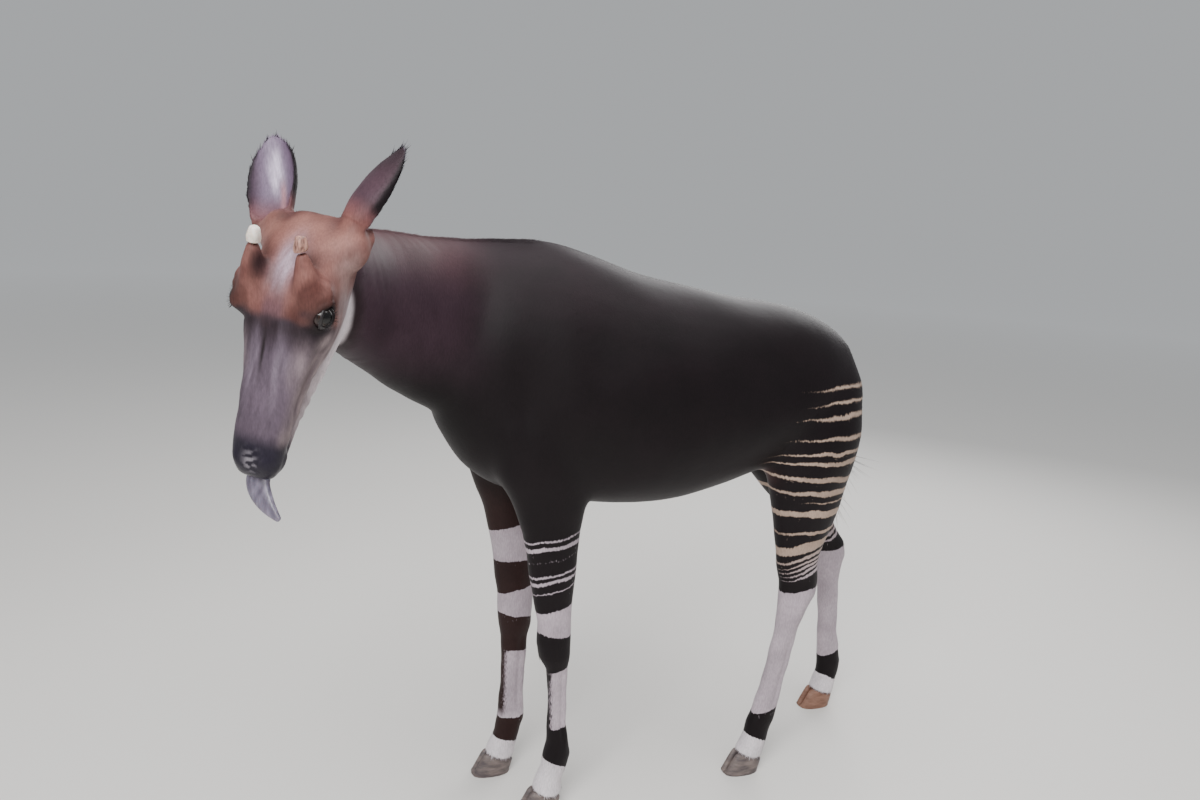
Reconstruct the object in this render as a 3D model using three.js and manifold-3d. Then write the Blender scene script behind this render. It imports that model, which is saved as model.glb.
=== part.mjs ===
// A standing okapi, life size, with its head lowered and turned to its left and the tongue showing.
// Millimetres. While the forms are made, +X points to the chest, +Y to the animal's left, +Z up,
// and the zero point is on the floor below the withers. At the end the whole is moved so that
// the zero point is the middle of the bottom of its bounding box.
import * as THREE from 'three';
import { mergeVertices } from 'three/addons/utils/BufferGeometryUtils.js';
import Module from 'manifold-3d';

const wasm = await Module();
wasm.setup();

// Seam between neighbouring nodes.
const SEAM = 0.3;
// Edge length of the blocks used as half spaces.
const BLOCK = 4000;
// Steps of the smooth curve between two stations of a form.
const BODY_STEPS = 2;
const LEG_STEPS = 1;
const HEAD_STEPS = 2;
// Points around a form.
const BODY_AROUND = 32;
const NECK_AROUND = 28;
const LEG_AROUND = 18;
const HEAD_AROUND = 28;
const EAR_AROUND = 10;
const EYE_AROUND = 16;
const MOUND_AROUND = 12;

// Trunk: [x, top, bottom, half width, height of the widest point].
const TRUNK = [
  [-912, 1215, 1060, 62, 1130],
  [-885, 1290, 1010, 120, 1130],
  [-830, 1345, 965, 168, 1130],
  [-740, 1386, 935, 204, 1140],
  [-620, 1410, 932, 218, 1150],
  [-480, 1430, 892, 238, 1130],
  [-340, 1452, 862, 256, 1120],
  [-200, 1482, 856, 258, 1120],
  [-80, 1524, 864, 240, 1130],
  [20, 1553, 880, 218, 1150],
  [110, 1557, 900, 198, 1180],
  [195, 1545, 935, 176, 1210],
  [265, 1500, 995, 146, 1220],
  [318, 1400, 1075, 96, 1230],
];
const TRUNK_ROUND = 26;
const TRUNK_POWER = 2.15;

// Neck: [x, y, z, half depth, half width].
const NECK = [
  [70, 0, 1318, 226, 160],
  [190, 4, 1325, 232, 142],
  [300, 24, 1345, 218, 120],
  [400, 80, 1380, 192, 100],
  [490, 160, 1416, 163, 88],
  [566, 250, 1446, 137, 80],
  [628, 350, 1488, 116, 72],
];
const NECK_ROUND = 16;

// Head: place of the poll and the three turns (nod, turn to the left, lean).
const POLL = new THREE.Vector3(690, 470, 1625);
const HEAD_NOD = 0.2672;
const HEAD_TURN = 0.3994;
const HEAD_LEAN = 0.4765;

// Skull and upper lip: [distance from the poll, top, bottom, half width, height of the widest point].
const SKULL = [
  [4, -56, -126, 58, -90],
  [26, -36, -142, 80, -80],
  [64, -16, -150, 90, -72],
  [110, 0, -152, 90, -66],
  [158, 8, -154, 88, -62],
  [205, 4, -152, 85, -54],
  [255, -8, -136, 76, -50],
  [310, -14, -114, 63, -50],
  [365, -16, -99, 57, -50],
  [415, -19, -93, 54, -52],
  [452, -24, -92, 52, -54],
  [482, -32, -91, 47, -58],
  [498, -44, -88, 38, -64],
];
const SKULL_ROUND = 9;
const SKULL_POWER = 2.35;

// Lower jaw: the same measures.
const JAW = [
  [92, -84, -150, 50, -118],
  [132, -84, -182, 56, -134],
  [178, -84, -196, 57, -140],
  [222, -84, -192, 55, -137],
  [275, -84, -174, 50, -126],
  [330, -84, -152, 43, -115],
  [385, -84, -131, 37, -107],
  [432, -84, -120, 33, -103],
  [464, -84, -118, 31, -102],
  [480, -86, -111, 26, -100],
];
const JAW_ROUND = 7;
const JAW_POWER = 2.2;

// Mouth slit between the lips.
const MOUTH_START = 398;
const MOUTH_LEVEL = -93;
const MOUTH_OPEN = 2.6;
const MOUTH_TILT = 0.03;
const MOUTH_REACH = [180, 160];

// Nostrils.
const NOSTRIL_AT = [470, -42, 30];
const NOSTRIL_SIZE = [15, 7, 9];
const NOSTRIL_TURN = 0.7;

// Orbits, eyes and the opening between the lids.
const ORBIT_AT = [166, -22, 59];
const ORBIT_SIZE = [54, 35, 45];
const EYE_AT = [184, -22, 83];
const EYE_RADIUS = 21;
const LID_OPEN = [17, 11];
const LID_REACH = 60;
const EYE_LOOK = [0.05, 0.38, 0.92];

// Ossicones: [distance from the poll, height, side, radius] from root to tip.
const OSSICONE = [
  [164, -28, 58, 38],
  [144, -6, 57, 33],
  [118, 14, 55, 23],
  [94, 26, 51.5, 15.5],
  [84, 31, 49.5, 13],
];
const OSSICONE_TIP = [
  [84, 31, 49.5, 12.5],
  [74, 35, 48.5, 13],
  [63, 38.5, 47.5, 10.5],
];
const OSSICONE_ROUND = 6;

// Ears, seen along the ear from the root: [share of the length, half width, cup depth, wall].
const EAR = [
  [0, 41, 32, 14],
  [0.1, 42, 35, 11],
  [0.24, 47, 37, 7],
  [0.42, 53, 35, 6],
  [0.6, 54, 28, 6],
  [0.76, 46, 19, 5],
  [0.88, 32, 10, 5],
  [0.96, 18, 5, 4],
  [1, 8, 3, 3],
];
const EAR_LEFT_ROOT = [34, -80, 70];
const EAR_LEFT_TIP = [-156, -104, 119];
const EAR_LEFT_OPEN = [0.2, -0.85, 0.5];
const EAR_LEFT_BROAD = 0.92;
const EAR_RIGHT_ROOT = [48, -72, -102];
const EAR_RIGHT_TIP = [-133, -104, -165];
const EAR_RIGHT_OPEN = [0, 1, -0.12];
const EAR_RIGHT_BROAD = 1.1;
// Mounds of muscle that carry the ears.
const EAR_MOUND_AT = [52, -72, 77];
const EAR_MOUND_SIZE = [48, 36, 42];

// Tongue: [distance from the poll, height, side, half width, half thickness].
const TONGUE = [
  [455, -88, 0, 16, 6],
  [498, -82, -4, 25, 9],
  [520, -80, 0, 25, 9],
  [540, -80, 16, 21, 8],
  [557, -80, 37, 14, 6.5],
  [570, -81, 58, 6, 4],
];
const TONGUE_ROUND = 4;
const TONGUE_POWER = 2.4;

// Legs, from the body down: [z, x, y, half depth, half width].
const FORE_LEFT = [
  [1420, 96, 84, 70, 38],
  [1260, 112, 104, 118, 72],
  [1100, 104, 116, 132, 84],
  [980, 74, 118, 124, 76],
  [900, 50, 116, 104, 62],
  [820, 42, 114, 80, 51],
  [733, 35, 113, 69, 45],
  [648, 29, 112, 59, 40],
  [565, 21, 111, 48, 36],
  [510, 20, 111, 49, 39],
  [465, 16, 110, 45, 38],
  [425, 7, 109, 30, 28],
  [350, 1, 108, 27, 24],
  [265, 0, 107, 27, 24],
  [205, -5, 106, 33, 28],
  [165, -7, 105, 41, 33],
  [128, 0, 105, 38, 32],
  [92, 12, 104, 40, 35],
  [50, 20, 104, 46, 38],
];
const FORE_RIGHT = [
  [1420, 96, -84, 70, 38],
  [1260, 116, -104, 118, 72],
  [1100, 116, -116, 130, 84],
  [980, 104, -118, 120, 76],
  [900, 92, -117, 100, 62],
  [820, 80, -115, 80, 51],
  [733, 70, -113, 70, 45],
  [648, 64, -112, 62, 40],
  [565, 59, -111, 55, 38],
  [510, 57, -110, 53, 40],
  [465, 57, -110, 49, 39],
  [425, 57, -109, 41, 31],
  [350, 58, -108, 37, 27],
  [265, 59, -107, 36, 27],
  [205, 60, -106, 39, 29],
  [165, 60, -106, 41, 33],
  [128, 68, -106, 39, 32],
  [92, 82, -106, 41, 35],
  [50, 92, -106, 47, 38],
];
const HIND_LEFT = [
  [1310, -744, 70, 110, 58],
  [1190, -752, 104, 150, 92],
  [1060, -744, 118, 152, 104],
  [950, -736, 123, 138, 94],
  [870, -737, 126, 120, 78],
  [796, -737, 127, 102, 62],
  [720, -731, 127, 81, 50],
  [655, -728, 126, 68, 41],
  [600, -742, 125, 66, 37],
  [555, -742, 125, 62, 38],
  [505, -728, 124, 46, 34],
  [450, -718, 124, 38, 29],
  [360, -702, 123, 36, 26],
  [270, -684, 123, 36, 26],
  [200, -670, 123, 40, 29],
  [160, -658, 123, 44, 33],
  [122, -648, 123, 40, 32],
  [88, -636, 123, 42, 35],
  [50, -624, 123, 48, 38],
];
const HIND_RIGHT = [
  [1310, -748, -70, 110, 58],
  [1190, -760, -104, 150, 92],
  [1060, -764, -118, 160, 104],
  [950, -786, -123, 146, 94],
  [870, -820, -126, 122, 78],
  [796, -866, -127, 100, 62],
  [720, -926, -127, 80, 50],
  [655, -986, -127, 66, 41],
  [600, -1034, -127, 62, 37],
  [555, -1048, -127, 58, 38],
  [505, -1050, -127, 46, 34],
  [450, -1054, -127, 40, 29],
  [360, -1064, -127, 37, 26],
  [270, -1074, -127, 37, 26],
  [200, -1086, -127, 41, 29],
  [160, -1094, -127, 45, 33],
  [122, -1092, -127, 41, 32],
  [88, -1082, -127, 42, 35],
  [50, -1072, -127, 48, 38],
];
// Planes that part the head from the neck (on the head's axes) and the neck from the chest.
const NAPE_AT = [70, -150, 0];
const NAPE_FACING = [0.5, 0.866, 0];
const CHEST_AT = [250, 0, 1400];
const CHEST_FACING = [0.8, 0.08, 0.6];
// Level of the seam between body and legs, below the belly.
const LEG_SEAM = 838;

// Hooves: height of the coronet in the middle, its slope, and the sole of one claw.
const CORONET = 50;
const CORONET_SLOPE = 0.34;
const CORONET_BACK = 6;
const TOE_REACH = 66;
const HEEL_REACH = 46;
const CLAW_WIDTH = 35;
const CLAW_SPLIT = 3;
const CLAW_FLAT = 5;
const CLAW_AHEAD = 14;
const CLAW_HOLLOW = 0.01;
// Claw: [height, shift backwards, share of the sole].
const CLAW_LEVELS = [
  [0, 0, 1],
  [CLAW_FLAT, 0, 1],
  [24, 8, 0.96],
  [48, 17, 0.9],
  [88, 34, 0.82],
];

// Tail: [x, z, radius], then the tuft of locks.
const TAIL = [
  [-868, 1292, 26],
  [-912, 1268, 25],
  [-940, 1210, 21],
  [-946, 1130, 17],
  [-932, 1040, 14],
  [-908, 960, 12],
];
const TAIL_AROUND = 12;
const TAIL_ROUND = 8;
const TAIL_LOCKS = 9;
const LOCK_LENGTH = 210;
const LOCK_WIDTH = 13;
const LOCK_THICK = 5;
const LOCK_SINK = 60;
const LOCK_ROOT_OUT = 5;
const LOCK_TIP_OUT = 17;
const LOCK_FORWARD = 24;
// Lock of hair: [share of the length, share of the width].
const LOCK_STATIONS = [
  [0, 0.7],
  [0.35, 1],
  [0.75, 0.7],
  [1, 0.08],
];

// Colours seen on the animal.
const COLOURS = {
  body: '#2a1d20', neck: '#3c2a2f', head: '#7d5148', leg: '#5a4a4a', ear: '#5c3c3a', horn: '#7a4638',
  tip: '#e6d6c8', eye: '#0e0b0c', tongue: '#8d8296', hoof: '#7a6a60', tail: '#2c1d1e',
};
const SKIN_ROUGH = 0.62;
const WET_ROUGH = 0.12;
const HARD_ROUGH = 0.5;

const UP = new THREE.Vector3(0, 0, 1);
const LEFT = new THREE.Vector3(0, 1, 0);
const FRONT = new THREE.Vector3(1, 0, 0);

function vec(values) {
  return new THREE.Vector3(values[0], values[1], values[2]);
}

// Value of a smooth curve through a list of numbers.
function curve(values, place) {
  const last = values.length - 1;
  const index = Math.min(Math.floor(place), last - 1);
  const part = place - index;
  const before = values[Math.max(index - 1, 0)];
  const from = values[index];
  const to = values[index + 1];
  const after = values[Math.min(index + 2, last)];
  const slopeFrom = (to - before) / 2;
  const slopeTo = (after - from) / 2;
  const square = part * part;
  const cube = square * part;
  return (2 * cube - 3 * square + 1) * from + (cube - 2 * square + part) * slopeFrom
    + (3 * square - 2 * cube) * to + (cube - square) * slopeTo;
}

// Rows of numbers made finer along the form.
function refine(rows, steps) {
  const fine = [];
  const columns = rows[0].map((unused, column) => rows.map((row) => row[column]));
  const count = (rows.length - 1) * steps;
  for (let i = 0; i <= count; i += 1) {
    fine.push(columns.map((values) => curve(values, i / steps)));
  }
  return fine;
}

function solidFrom(positions, indices) {
  const geometry = new THREE.BufferGeometry();
  geometry.setAttribute('position', new THREE.Float32BufferAttribute(positions, 3));
  geometry.setIndex(indices);
  return toSolid(geometry);
}

function toSolid(geometry) {
  geometry.deleteAttribute('normal');
  geometry.deleteAttribute('uv');
  const welded = mergeVertices(geometry, 1e-4);
  return new wasm.Manifold(new wasm.Mesh({
    numProp: 3,
    vertProperties: new Float32Array(welded.attributes.position.array),
    triVerts: new Uint32Array(welded.index.array),
  }));
}

// Closed form through rings of equal point counts, with a fan at both ends.
function skinRings(rings) {
  const around = rings[0].length;
  const positions = [];
  const indices = [];
  rings.forEach((ring) => ring.forEach((p) => positions.push(p.x, p.y, p.z)));
  for (let i = 0; i < rings.length - 1; i += 1) {
    for (let j = 0; j < around; j += 1) {
      const k = (j + 1) % around;
      const low = i * around;
      const high = low + around;
      indices.push(low + j, low + k, high + k, low + j, high + k, high + j);
    }
  }
  [[0, false], [rings.length - 1, true]].forEach(([row, atEnd]) => {
    const middle = new THREE.Vector3();
    rings[row].forEach((p) => middle.add(p));
    middle.divideScalar(around);
    const hub = positions.length / 3;
    positions.push(middle.x, middle.y, middle.z);
    for (let j = 0; j < around; j += 1) {
      const a = row * around + j;
      const b = row * around + (j + 1) % around;
      if (atEnd) indices.push(hub, a, b);
      else indices.push(hub, b, a);
    }
  });
  const solid = solidFrom(positions, indices);
  return solid.volume() < 0 ? solidFrom(positions, indices.reverse()) : solid;
}

// Ring of a form: middle, side and up directions, half sizes and the power of the rounding.
function ringPoints(spec, around) {
  const points = [];
  for (let j = 0; j < around; j += 1) {
    const angle = (j / around) * Math.PI * 2;
    const c = Math.cos(angle);
    const s = Math.sin(angle);
    const across = Math.sign(c) * Math.abs(c) ** (2 / spec.power) * spec.half;
    const rise = Math.sign(s) * Math.abs(s) ** (2 / spec.power) * (s > 0 ? spec.up : spec.down);
    points.push(spec.middle.clone().addScaledVector(spec.side, across).addScaledVector(spec.top, rise));
  }
  return points;
}

// Form through ring specs with a rounded start and end of the given length.
function loft(specs, around, round) {
  const rings = specs.map((spec) => ringPoints(spec, around));
  const cap = (spec, axis) => [0.5, 0.87].map((reach) => {
    const scale = Math.sqrt(1 - reach * reach);
    return ringPoints({
      ...spec,
      middle: spec.middle.clone().addScaledVector(axis, reach * round),
      half: spec.half * scale,
      up: spec.up * scale,
      down: spec.down * scale,
    }, around);
  });
  const first = specs[0];
  const last = specs[specs.length - 1];
  if (round > 0) {
    const back = first.middle.clone().sub(specs[1].middle).normalize();
    const ahead = last.middle.clone().sub(specs[specs.length - 2].middle).normalize();
    rings.unshift(...cap(first, back).reverse());
    rings.push(...cap(last, ahead));
  }
  return skinRings(rings);
}

// Direction of a path at one of its points.
function heading(points, i) {
  const before = points[Math.max(i - 1, 0)];
  const after = points[Math.min(i + 1, points.length - 1)];
  return after.clone().sub(before).normalize();
}

// Ring specs along a path, standing across it, from rows [x, y, z, half depth, half width].
function pathSpecs(rows, grow) {
  const points = rows.map((row) => vec(row));
  return rows.map((row, i) => {
    const ahead = heading(points, i);
    const side = UP.clone().cross(ahead).normalize();
    const top = ahead.clone().cross(side).normalize();
    return {
      middle: points[i], side, top, half: row[4] + grow, up: row[3] + grow, down: row[3] + grow, power: 2,
    };
  });
}

function trunkForm(grow) {
  const specs = refine(TRUNK, BODY_STEPS).map(([x, top, bottom, half, wide]) => ({
    middle: new THREE.Vector3(x, 0, wide),
    side: LEFT,
    top: UP,
    half: half + grow,
    up: top - wide + grow,
    down: wide - bottom + grow,
    power: TRUNK_POWER,
  }));
  return loft(specs, BODY_AROUND, TRUNK_ROUND + grow);
}

function legForm(rows) {
  const specs = refine(rows, LEG_STEPS).map(([z, x, y, depth, half]) => ({
    middle: new THREE.Vector3(x, y, z), side: FRONT, top: LEFT, half: depth, up: half, down: half, power: 2.1,
  }));
  return loft(specs, LEG_AROUND, 0);
}

// Directions of the head: along the nose, out of the forehead, to the animal's left.
const nose = new THREE.Vector3(Math.sin(HEAD_NOD), 0, -Math.cos(HEAD_NOD));
const browFlat = new THREE.Vector3(Math.cos(HEAD_NOD), 0, Math.sin(HEAD_NOD));
const brow = browFlat.clone().multiplyScalar(Math.cos(HEAD_LEAN));
brow.addScaledVector(LEFT, Math.sin(HEAD_LEAN));
const cheek = LEFT.clone().multiplyScalar(Math.cos(HEAD_LEAN));
cheek.addScaledVector(browFlat, -Math.sin(HEAD_LEAN));
[nose, brow, cheek].forEach((direction) => direction.applyAxisAngle(UP, HEAD_TURN));
const right = cheek.clone().negate();

function onHead(along, height, side) {
  return POLL.clone().addScaledVector(nose, along).addScaledVector(brow, height).addScaledVector(cheek, side);
}

function headDirection(values) {
  return new THREE.Vector3().addScaledVector(nose, values[0]).addScaledVector(brow, values[1])
    .addScaledVector(cheek, values[2]).normalize();
}

function headSpecs(rows, grow, power) {
  return refine(rows, HEAD_STEPS).map(([along, top, bottom, half, wide]) => ({
    middle: onHead(along, wide, 0),
    side: cheek,
    top: brow,
    half: half + grow,
    up: top - wide + grow,
    down: wide - bottom + grow,
    power,
  }));
}

// Ball or egg with its axes along the head's directions, turned about the nose direction.
function headEgg(at, size, around) {
  const ball = new THREE.SphereGeometry(1, around, around / 2);
  const place = new THREE.Matrix4().makeBasis(nose, brow, right);
  ball.applyMatrix4(new THREE.Matrix4().makeScale(size[0], size[1], size[2]));
  ball.applyMatrix4(place);
  const middle = onHead(at[0], at[1], at[2]);
  ball.translate(middle.x, middle.y, middle.z);
  return toSolid(ball);
}

function mirrored(values, side) {
  return [values[0], values[1], values[2] * side];
}

function skullForm(grow) {
  let form = loft(headSpecs(SKULL, grow, SKULL_POWER), HEAD_AROUND, SKULL_ROUND + grow);
  [1, -1].forEach((side) => {
    const orbitSize = ORBIT_SIZE.map((size) => size + grow);
    const moundSize = EAR_MOUND_SIZE.map((size) => size + grow);
    form = form.add(headEgg(mirrored(ORBIT_AT, side), orbitSize, EYE_AROUND));
    form = form.add(headEgg(mirrored(EAR_MOUND_AT, side), moundSize, MOUND_AROUND));
  });
  return form;
}

// Round form through head points [along, height, side, radius].
function headRod(rows, side, grow, round, around) {
  const points = rows.map((row) => onHead(row[0], row[1], row[2] * side));
  const specs = rows.map((row, i) => {
    const ahead = heading(points, i);
    const across = cheek.clone().addScaledVector(ahead, -cheek.dot(ahead)).normalize();
    const top = ahead.clone().cross(across);
    const radius = row[3] + grow;
    return { middle: points[i], side: across, top, half: radius, up: radius, down: radius, power: 2 };
  });
  return loft(specs, around, round);
}

function tongueForm(grow) {
  const rows = refine(TONGUE, 2);
  const points = rows.map((row) => onHead(row[0], row[1], row[2]));
  const specs = rows.map((row, i) => {
    const ahead = heading(points, i);
    const across = ahead.clone().cross(brow).normalize();
    const top = across.clone().cross(ahead).normalize();
    const thick = row[4] + grow;
    return { middle: points[i], side: across, top, half: row[3] + grow, up: thick, down: thick, power: TONGUE_POWER };
  });
  return loft(specs, LEG_AROUND, TONGUE_ROUND);
}

// Thin cup of an ear between its root and its tip, open to one side.
function earForm(rootAt, tipAt, openTo, broad) {
  const root = onHead(rootAt[0], rootAt[1], rootAt[2]);
  const tip = onHead(tipAt[0], tipAt[1], tipAt[2]);
  const axis = tip.clone().sub(root);
  const length = axis.length();
  axis.normalize();
  const open = headDirection(openTo);
  open.addScaledVector(axis, -open.dot(axis)).normalize();
  const across = axis.clone().cross(open).normalize();
  const rings = refine(EAR, 2).map(([share, halfWidth, depth, wall]) => {
    const half = halfWidth * broad;
    const middle = root.clone().addScaledVector(axis, share * length);
    const outer = [];
    const inner = [];
    for (let j = 0; j < EAR_AROUND; j += 1) {
      const angle = (j / (EAR_AROUND - 1)) * Math.PI;
      const c = Math.cos(angle);
      const s = Math.sin(angle);
      const fill = Math.max(0, 1 - share * 5);
      outer.push(middle.clone().addScaledVector(across, c * half).addScaledVector(open, -s * depth));
      const insideHalf = Math.max(half - wall, half * 0.4);
      const insideDepth = Math.max(depth - wall, depth * 0.25) * (1 - fill) - depth * fill * 0.8;
      const inside = middle.clone().addScaledVector(across, c * insideHalf);
      inner.push(inside.addScaledVector(open, -s * insideDepth));
    }
    return outer.concat(inner.reverse());
  });
  return skinRings(rings);
}

// Half space on one side of a plane, as a large block.
function halfSpace(point, direction) {
  const block = new THREE.BoxGeometry(BLOCK, BLOCK, BLOCK);
  block.translate(0, 0, BLOCK / 2);
  block.applyQuaternion(new THREE.Quaternion().setFromUnitVectors(UP, direction));
  block.translate(point.x, point.y, point.z);
  return toSolid(block);
}

// Parts of a solid on both sides of a plane, with the seam between them.
function split(solid, point, direction) {
  const ahead = halfSpace(point.clone().addScaledVector(direction, SEAM / 2), direction);
  const behind = halfSpace(point.clone().addScaledVector(direction, -SEAM / 2), direction.clone().negate());
  return [solid.intersect(ahead), solid.intersect(behind)];
}

function largest(solid) {
  return solid.decompose().reduce((best, piece) => (piece.volume() > best.volume() ? piece : best));
}

// One claw: a block of horn with a flat sole, rounded toe and a slope that follows the pastern.
function clawForm(x, y, side) {
  const inner = CLAW_SPLIT / 2;
  const rings = [];
  CLAW_LEVELS.forEach(([z, back, scale]) => {
    const ring = [];
    for (let j = 0; j < LEG_AROUND; j += 1) {
      const angle = (j / LEG_AROUND) * Math.PI * 2;
      const c = Math.cos(angle);
      const s = Math.sin(angle);
      const reach = c > 0 ? TOE_REACH : HEEL_REACH;
      const along = Math.sign(c) * Math.abs(c) ** 0.9 * reach * scale;
      const bulge = s > 0 ? CLAW_WIDTH * scale * s ** 0.7 : CLAW_HOLLOW * s;
      ring.push(new THREE.Vector3(x - back + along, y + side * (inner + bulge), z));
    }
    rings.push(ring);
  });
  return skinRings(rings);
}

const coronetNormal = new THREE.Vector3(-CORONET_SLOPE, 0, 1).normalize();

// Lock of hair: a flat tapered strip from a root point to a tip point.
function lockForm(root, tip, outward, width, thick) {
  const ahead = tip.clone().sub(root);
  const length = ahead.length();
  ahead.normalize();
  const across = ahead.clone().cross(outward).normalize();
  const top = across.clone().cross(ahead).normalize();
  const rings = LOCK_STATIONS.map(([share, scale]) => {
    const bend = Math.sin(share * Math.PI) * width * 0.5;
    const middle = root.clone().addScaledVector(ahead, share * length).addScaledVector(top, bend);
    const half = width * scale;
    const rise = thick * scale;
    return [[1, 0], [0, 1], [-1, 0], [0, -1]].map(([c, s]) => middle.clone()
      .addScaledVector(across, c * half).addScaledVector(top, s * rise));
  });
  return skinRings(rings);
}

function tailForm() {
  const rows = refine(TAIL.map(([x, z, radius]) => [x, 0, z, radius, radius]), 2);
  const end = TAIL[TAIL.length - 1];
  let form = loft(pathSpecs(rows, 0), TAIL_AROUND, TAIL_ROUND);
  for (let i = 0; i < TAIL_LOCKS; i += 1) {
    const angle = (i / TAIL_LOCKS) * Math.PI * 2;
    const outward = new THREE.Vector3(Math.cos(angle), Math.sin(angle), 0);
    const drop = LOCK_LENGTH * (0.82 + 0.18 * Math.cos(i * 2.4));
    const root = new THREE.Vector3(end[0] - LOCK_FORWARD / 2, 0, end[1] + LOCK_SINK);
    root.addScaledVector(outward, LOCK_ROOT_OUT);
    const tip = new THREE.Vector3(end[0] + LOCK_FORWARD / 2, 0, end[1] + LOCK_SINK - drop);
    tip.addScaledVector(outward, LOCK_TIP_OUT);
    form = form.add(lockForm(root, tip, outward, LOCK_WIDTH, LOCK_THICK));
  }
  return form;
}

const whole = new THREE.Group();
whole.name = 'okapi';

function addNode(name, solid, colour, roughness) {
  const mesh = solid.getMesh();
  const geometry = new THREE.BufferGeometry();
  geometry.setAttribute('position', new THREE.Float32BufferAttribute(mesh.vertProperties, 3));
  geometry.setIndex(Array.from(mesh.triVerts));
  geometry.computeVertexNormals();
  const material = new THREE.MeshStandardMaterial({ color: colour, roughness, metalness: 0 });
  const node = new THREE.Mesh(geometry, material);
  node.name = name;
  whole.add(node);
}

// Trunk with legs and neck as one flesh, then thin cuts.
const legs = {
  fore_left: FORE_LEFT, fore_right: FORE_RIGHT, hind_left: HIND_LEFT, hind_right: HIND_RIGHT,
};
let flesh = trunkForm(0);
Object.values(legs).forEach((rows) => {
  flesh = flesh.add(legForm(rows));
});
const neckSpecs = pathSpecs(refine(NECK, BODY_STEPS), 0);
flesh = flesh.add(loft(neckSpecs, NECK_AROUND, NECK_ROUND));

const skull = skullForm(0);
const jaw = loft(headSpecs(JAW, 0, JAW_POWER), HEAD_AROUND, JAW_ROUND);
flesh = flesh.add(skull).add(jaw);

// The head is parted from the neck by a plane across the throat.
const nape = onHead(NAPE_AT[0], NAPE_AT[1], NAPE_AT[2]);
const napeDirection = headDirection(NAPE_FACING);
const [headRaw, belowHead] = split(flesh, nape, napeDirection);
const chestPlane = vec(CHEST_AT);
const chestDirection = vec(CHEST_FACING).normalize();
const [neckRaw, belowNeck] = split(belowHead, chestPlane, chestDirection);
const [torsoRaw, legsRaw] = split(belowNeck, new THREE.Vector3(0, 0, LEG_SEAM), UP);

let head = largest(headRaw);
const slit = new THREE.BoxGeometry(MOUTH_REACH[0], MOUTH_OPEN, MOUTH_REACH[1]);
slit.applyMatrix4(new THREE.Matrix4().makeTranslation(MOUTH_REACH[0] / 2, 0, 0));
slit.applyMatrix4(new THREE.Matrix4().makeRotationZ(MOUTH_TILT));
slit.applyMatrix4(new THREE.Matrix4().makeBasis(nose, brow, right));
const slitStart = onHead(MOUTH_START, MOUTH_LEVEL, 0);
slit.translate(slitStart.x, slitStart.y, slitStart.z);
head = head.subtract(toSolid(slit)).subtract(tongueForm(SEAM));

[['left', 1], ['right', -1]].forEach(([name, side]) => {
  const eyeAt = mirrored(EYE_AT, side);
  const look = headDirection(mirrored(EYE_LOOK, side));
  head = head.subtract(headEgg(eyeAt, [1, 1, 1].map(() => EYE_RADIUS + SEAM), EYE_AROUND));
  const opening = new THREE.CylinderGeometry(1, 1, LID_REACH, EYE_AROUND);
  opening.applyMatrix4(new THREE.Matrix4().makeTranslation(0, LID_REACH / 2, 0));
  opening.applyMatrix4(new THREE.Matrix4().makeScale(LID_OPEN[0], 1, LID_OPEN[1]));
  const lidAcross = nose.clone().addScaledVector(look, -nose.dot(look)).normalize();
  opening.applyMatrix4(new THREE.Matrix4().makeBasis(lidAcross, look, lidAcross.clone().cross(look)));
  const eyeMiddle = onHead(eyeAt[0], eyeAt[1], eyeAt[2]);
  opening.translate(eyeMiddle.x, eyeMiddle.y, eyeMiddle.z);
  head = head.subtract(toSolid(opening));
  const nostril = new THREE.SphereGeometry(1, 16, 10);
  nostril.applyMatrix4(new THREE.Matrix4().makeScale(NOSTRIL_SIZE[0], NOSTRIL_SIZE[1], NOSTRIL_SIZE[2]));
  nostril.applyMatrix4(new THREE.Matrix4().makeRotationX(-NOSTRIL_TURN * side));
  nostril.applyMatrix4(new THREE.Matrix4().makeBasis(nose, brow, right));
  const nostrilAt = onHead(NOSTRIL_AT[0], NOSTRIL_AT[1], NOSTRIL_AT[2] * side);
  nostril.translate(nostrilAt.x, nostrilAt.y, nostrilAt.z);
  head = head.subtract(toSolid(nostril));
  addNode(`eye_${name}`, headEgg(eyeAt, [1, 1, 1].map(() => EYE_RADIUS), EYE_AROUND), COLOURS.eye, WET_ROUGH);
});
addNode('head', largest(head), COLOURS.head, SKIN_ROUGH);
addNode('neck', largest(neckRaw), COLOURS.neck, SKIN_ROUGH);
addNode('torso', largest(torsoRaw), COLOURS.body, SKIN_ROUGH);
addNode('tongue', tongueForm(0), COLOURS.tongue, WET_ROUGH);

const skullGrown = skullForm(SEAM);
[['left', 1], ['right', -1]].forEach(([name, side]) => {
  const shaft = headRod(OSSICONE, side, 0, 0, LEG_AROUND).subtract(skullGrown);
  addNode(`ossicone_${name}`, largest(shaft), COLOURS.horn, SKIN_ROUGH);
  const last = OSSICONE[OSSICONE.length - 1];
  const from = onHead(last[0], last[1], last[2] * side);
  const prior = OSSICONE[OSSICONE.length - 2];
  const ahead = from.clone().sub(onHead(prior[0], prior[1], prior[2] * side)).normalize();
  const tipSpace = halfSpace(from.clone().addScaledVector(ahead, SEAM), ahead);
  const tip = headRod(OSSICONE_TIP, side, 0, OSSICONE_ROUND, LEG_AROUND).intersect(tipSpace);
  addNode(`ossicone_tip_${name}`, largest(tip), COLOURS.tip, HARD_ROUGH);
});
const earLeft = earForm(EAR_LEFT_ROOT, EAR_LEFT_TIP, EAR_LEFT_OPEN, EAR_LEFT_BROAD).subtract(skullGrown);
const earRight = earForm(EAR_RIGHT_ROOT, EAR_RIGHT_TIP, EAR_RIGHT_OPEN, EAR_RIGHT_BROAD).subtract(skullGrown);
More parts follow.
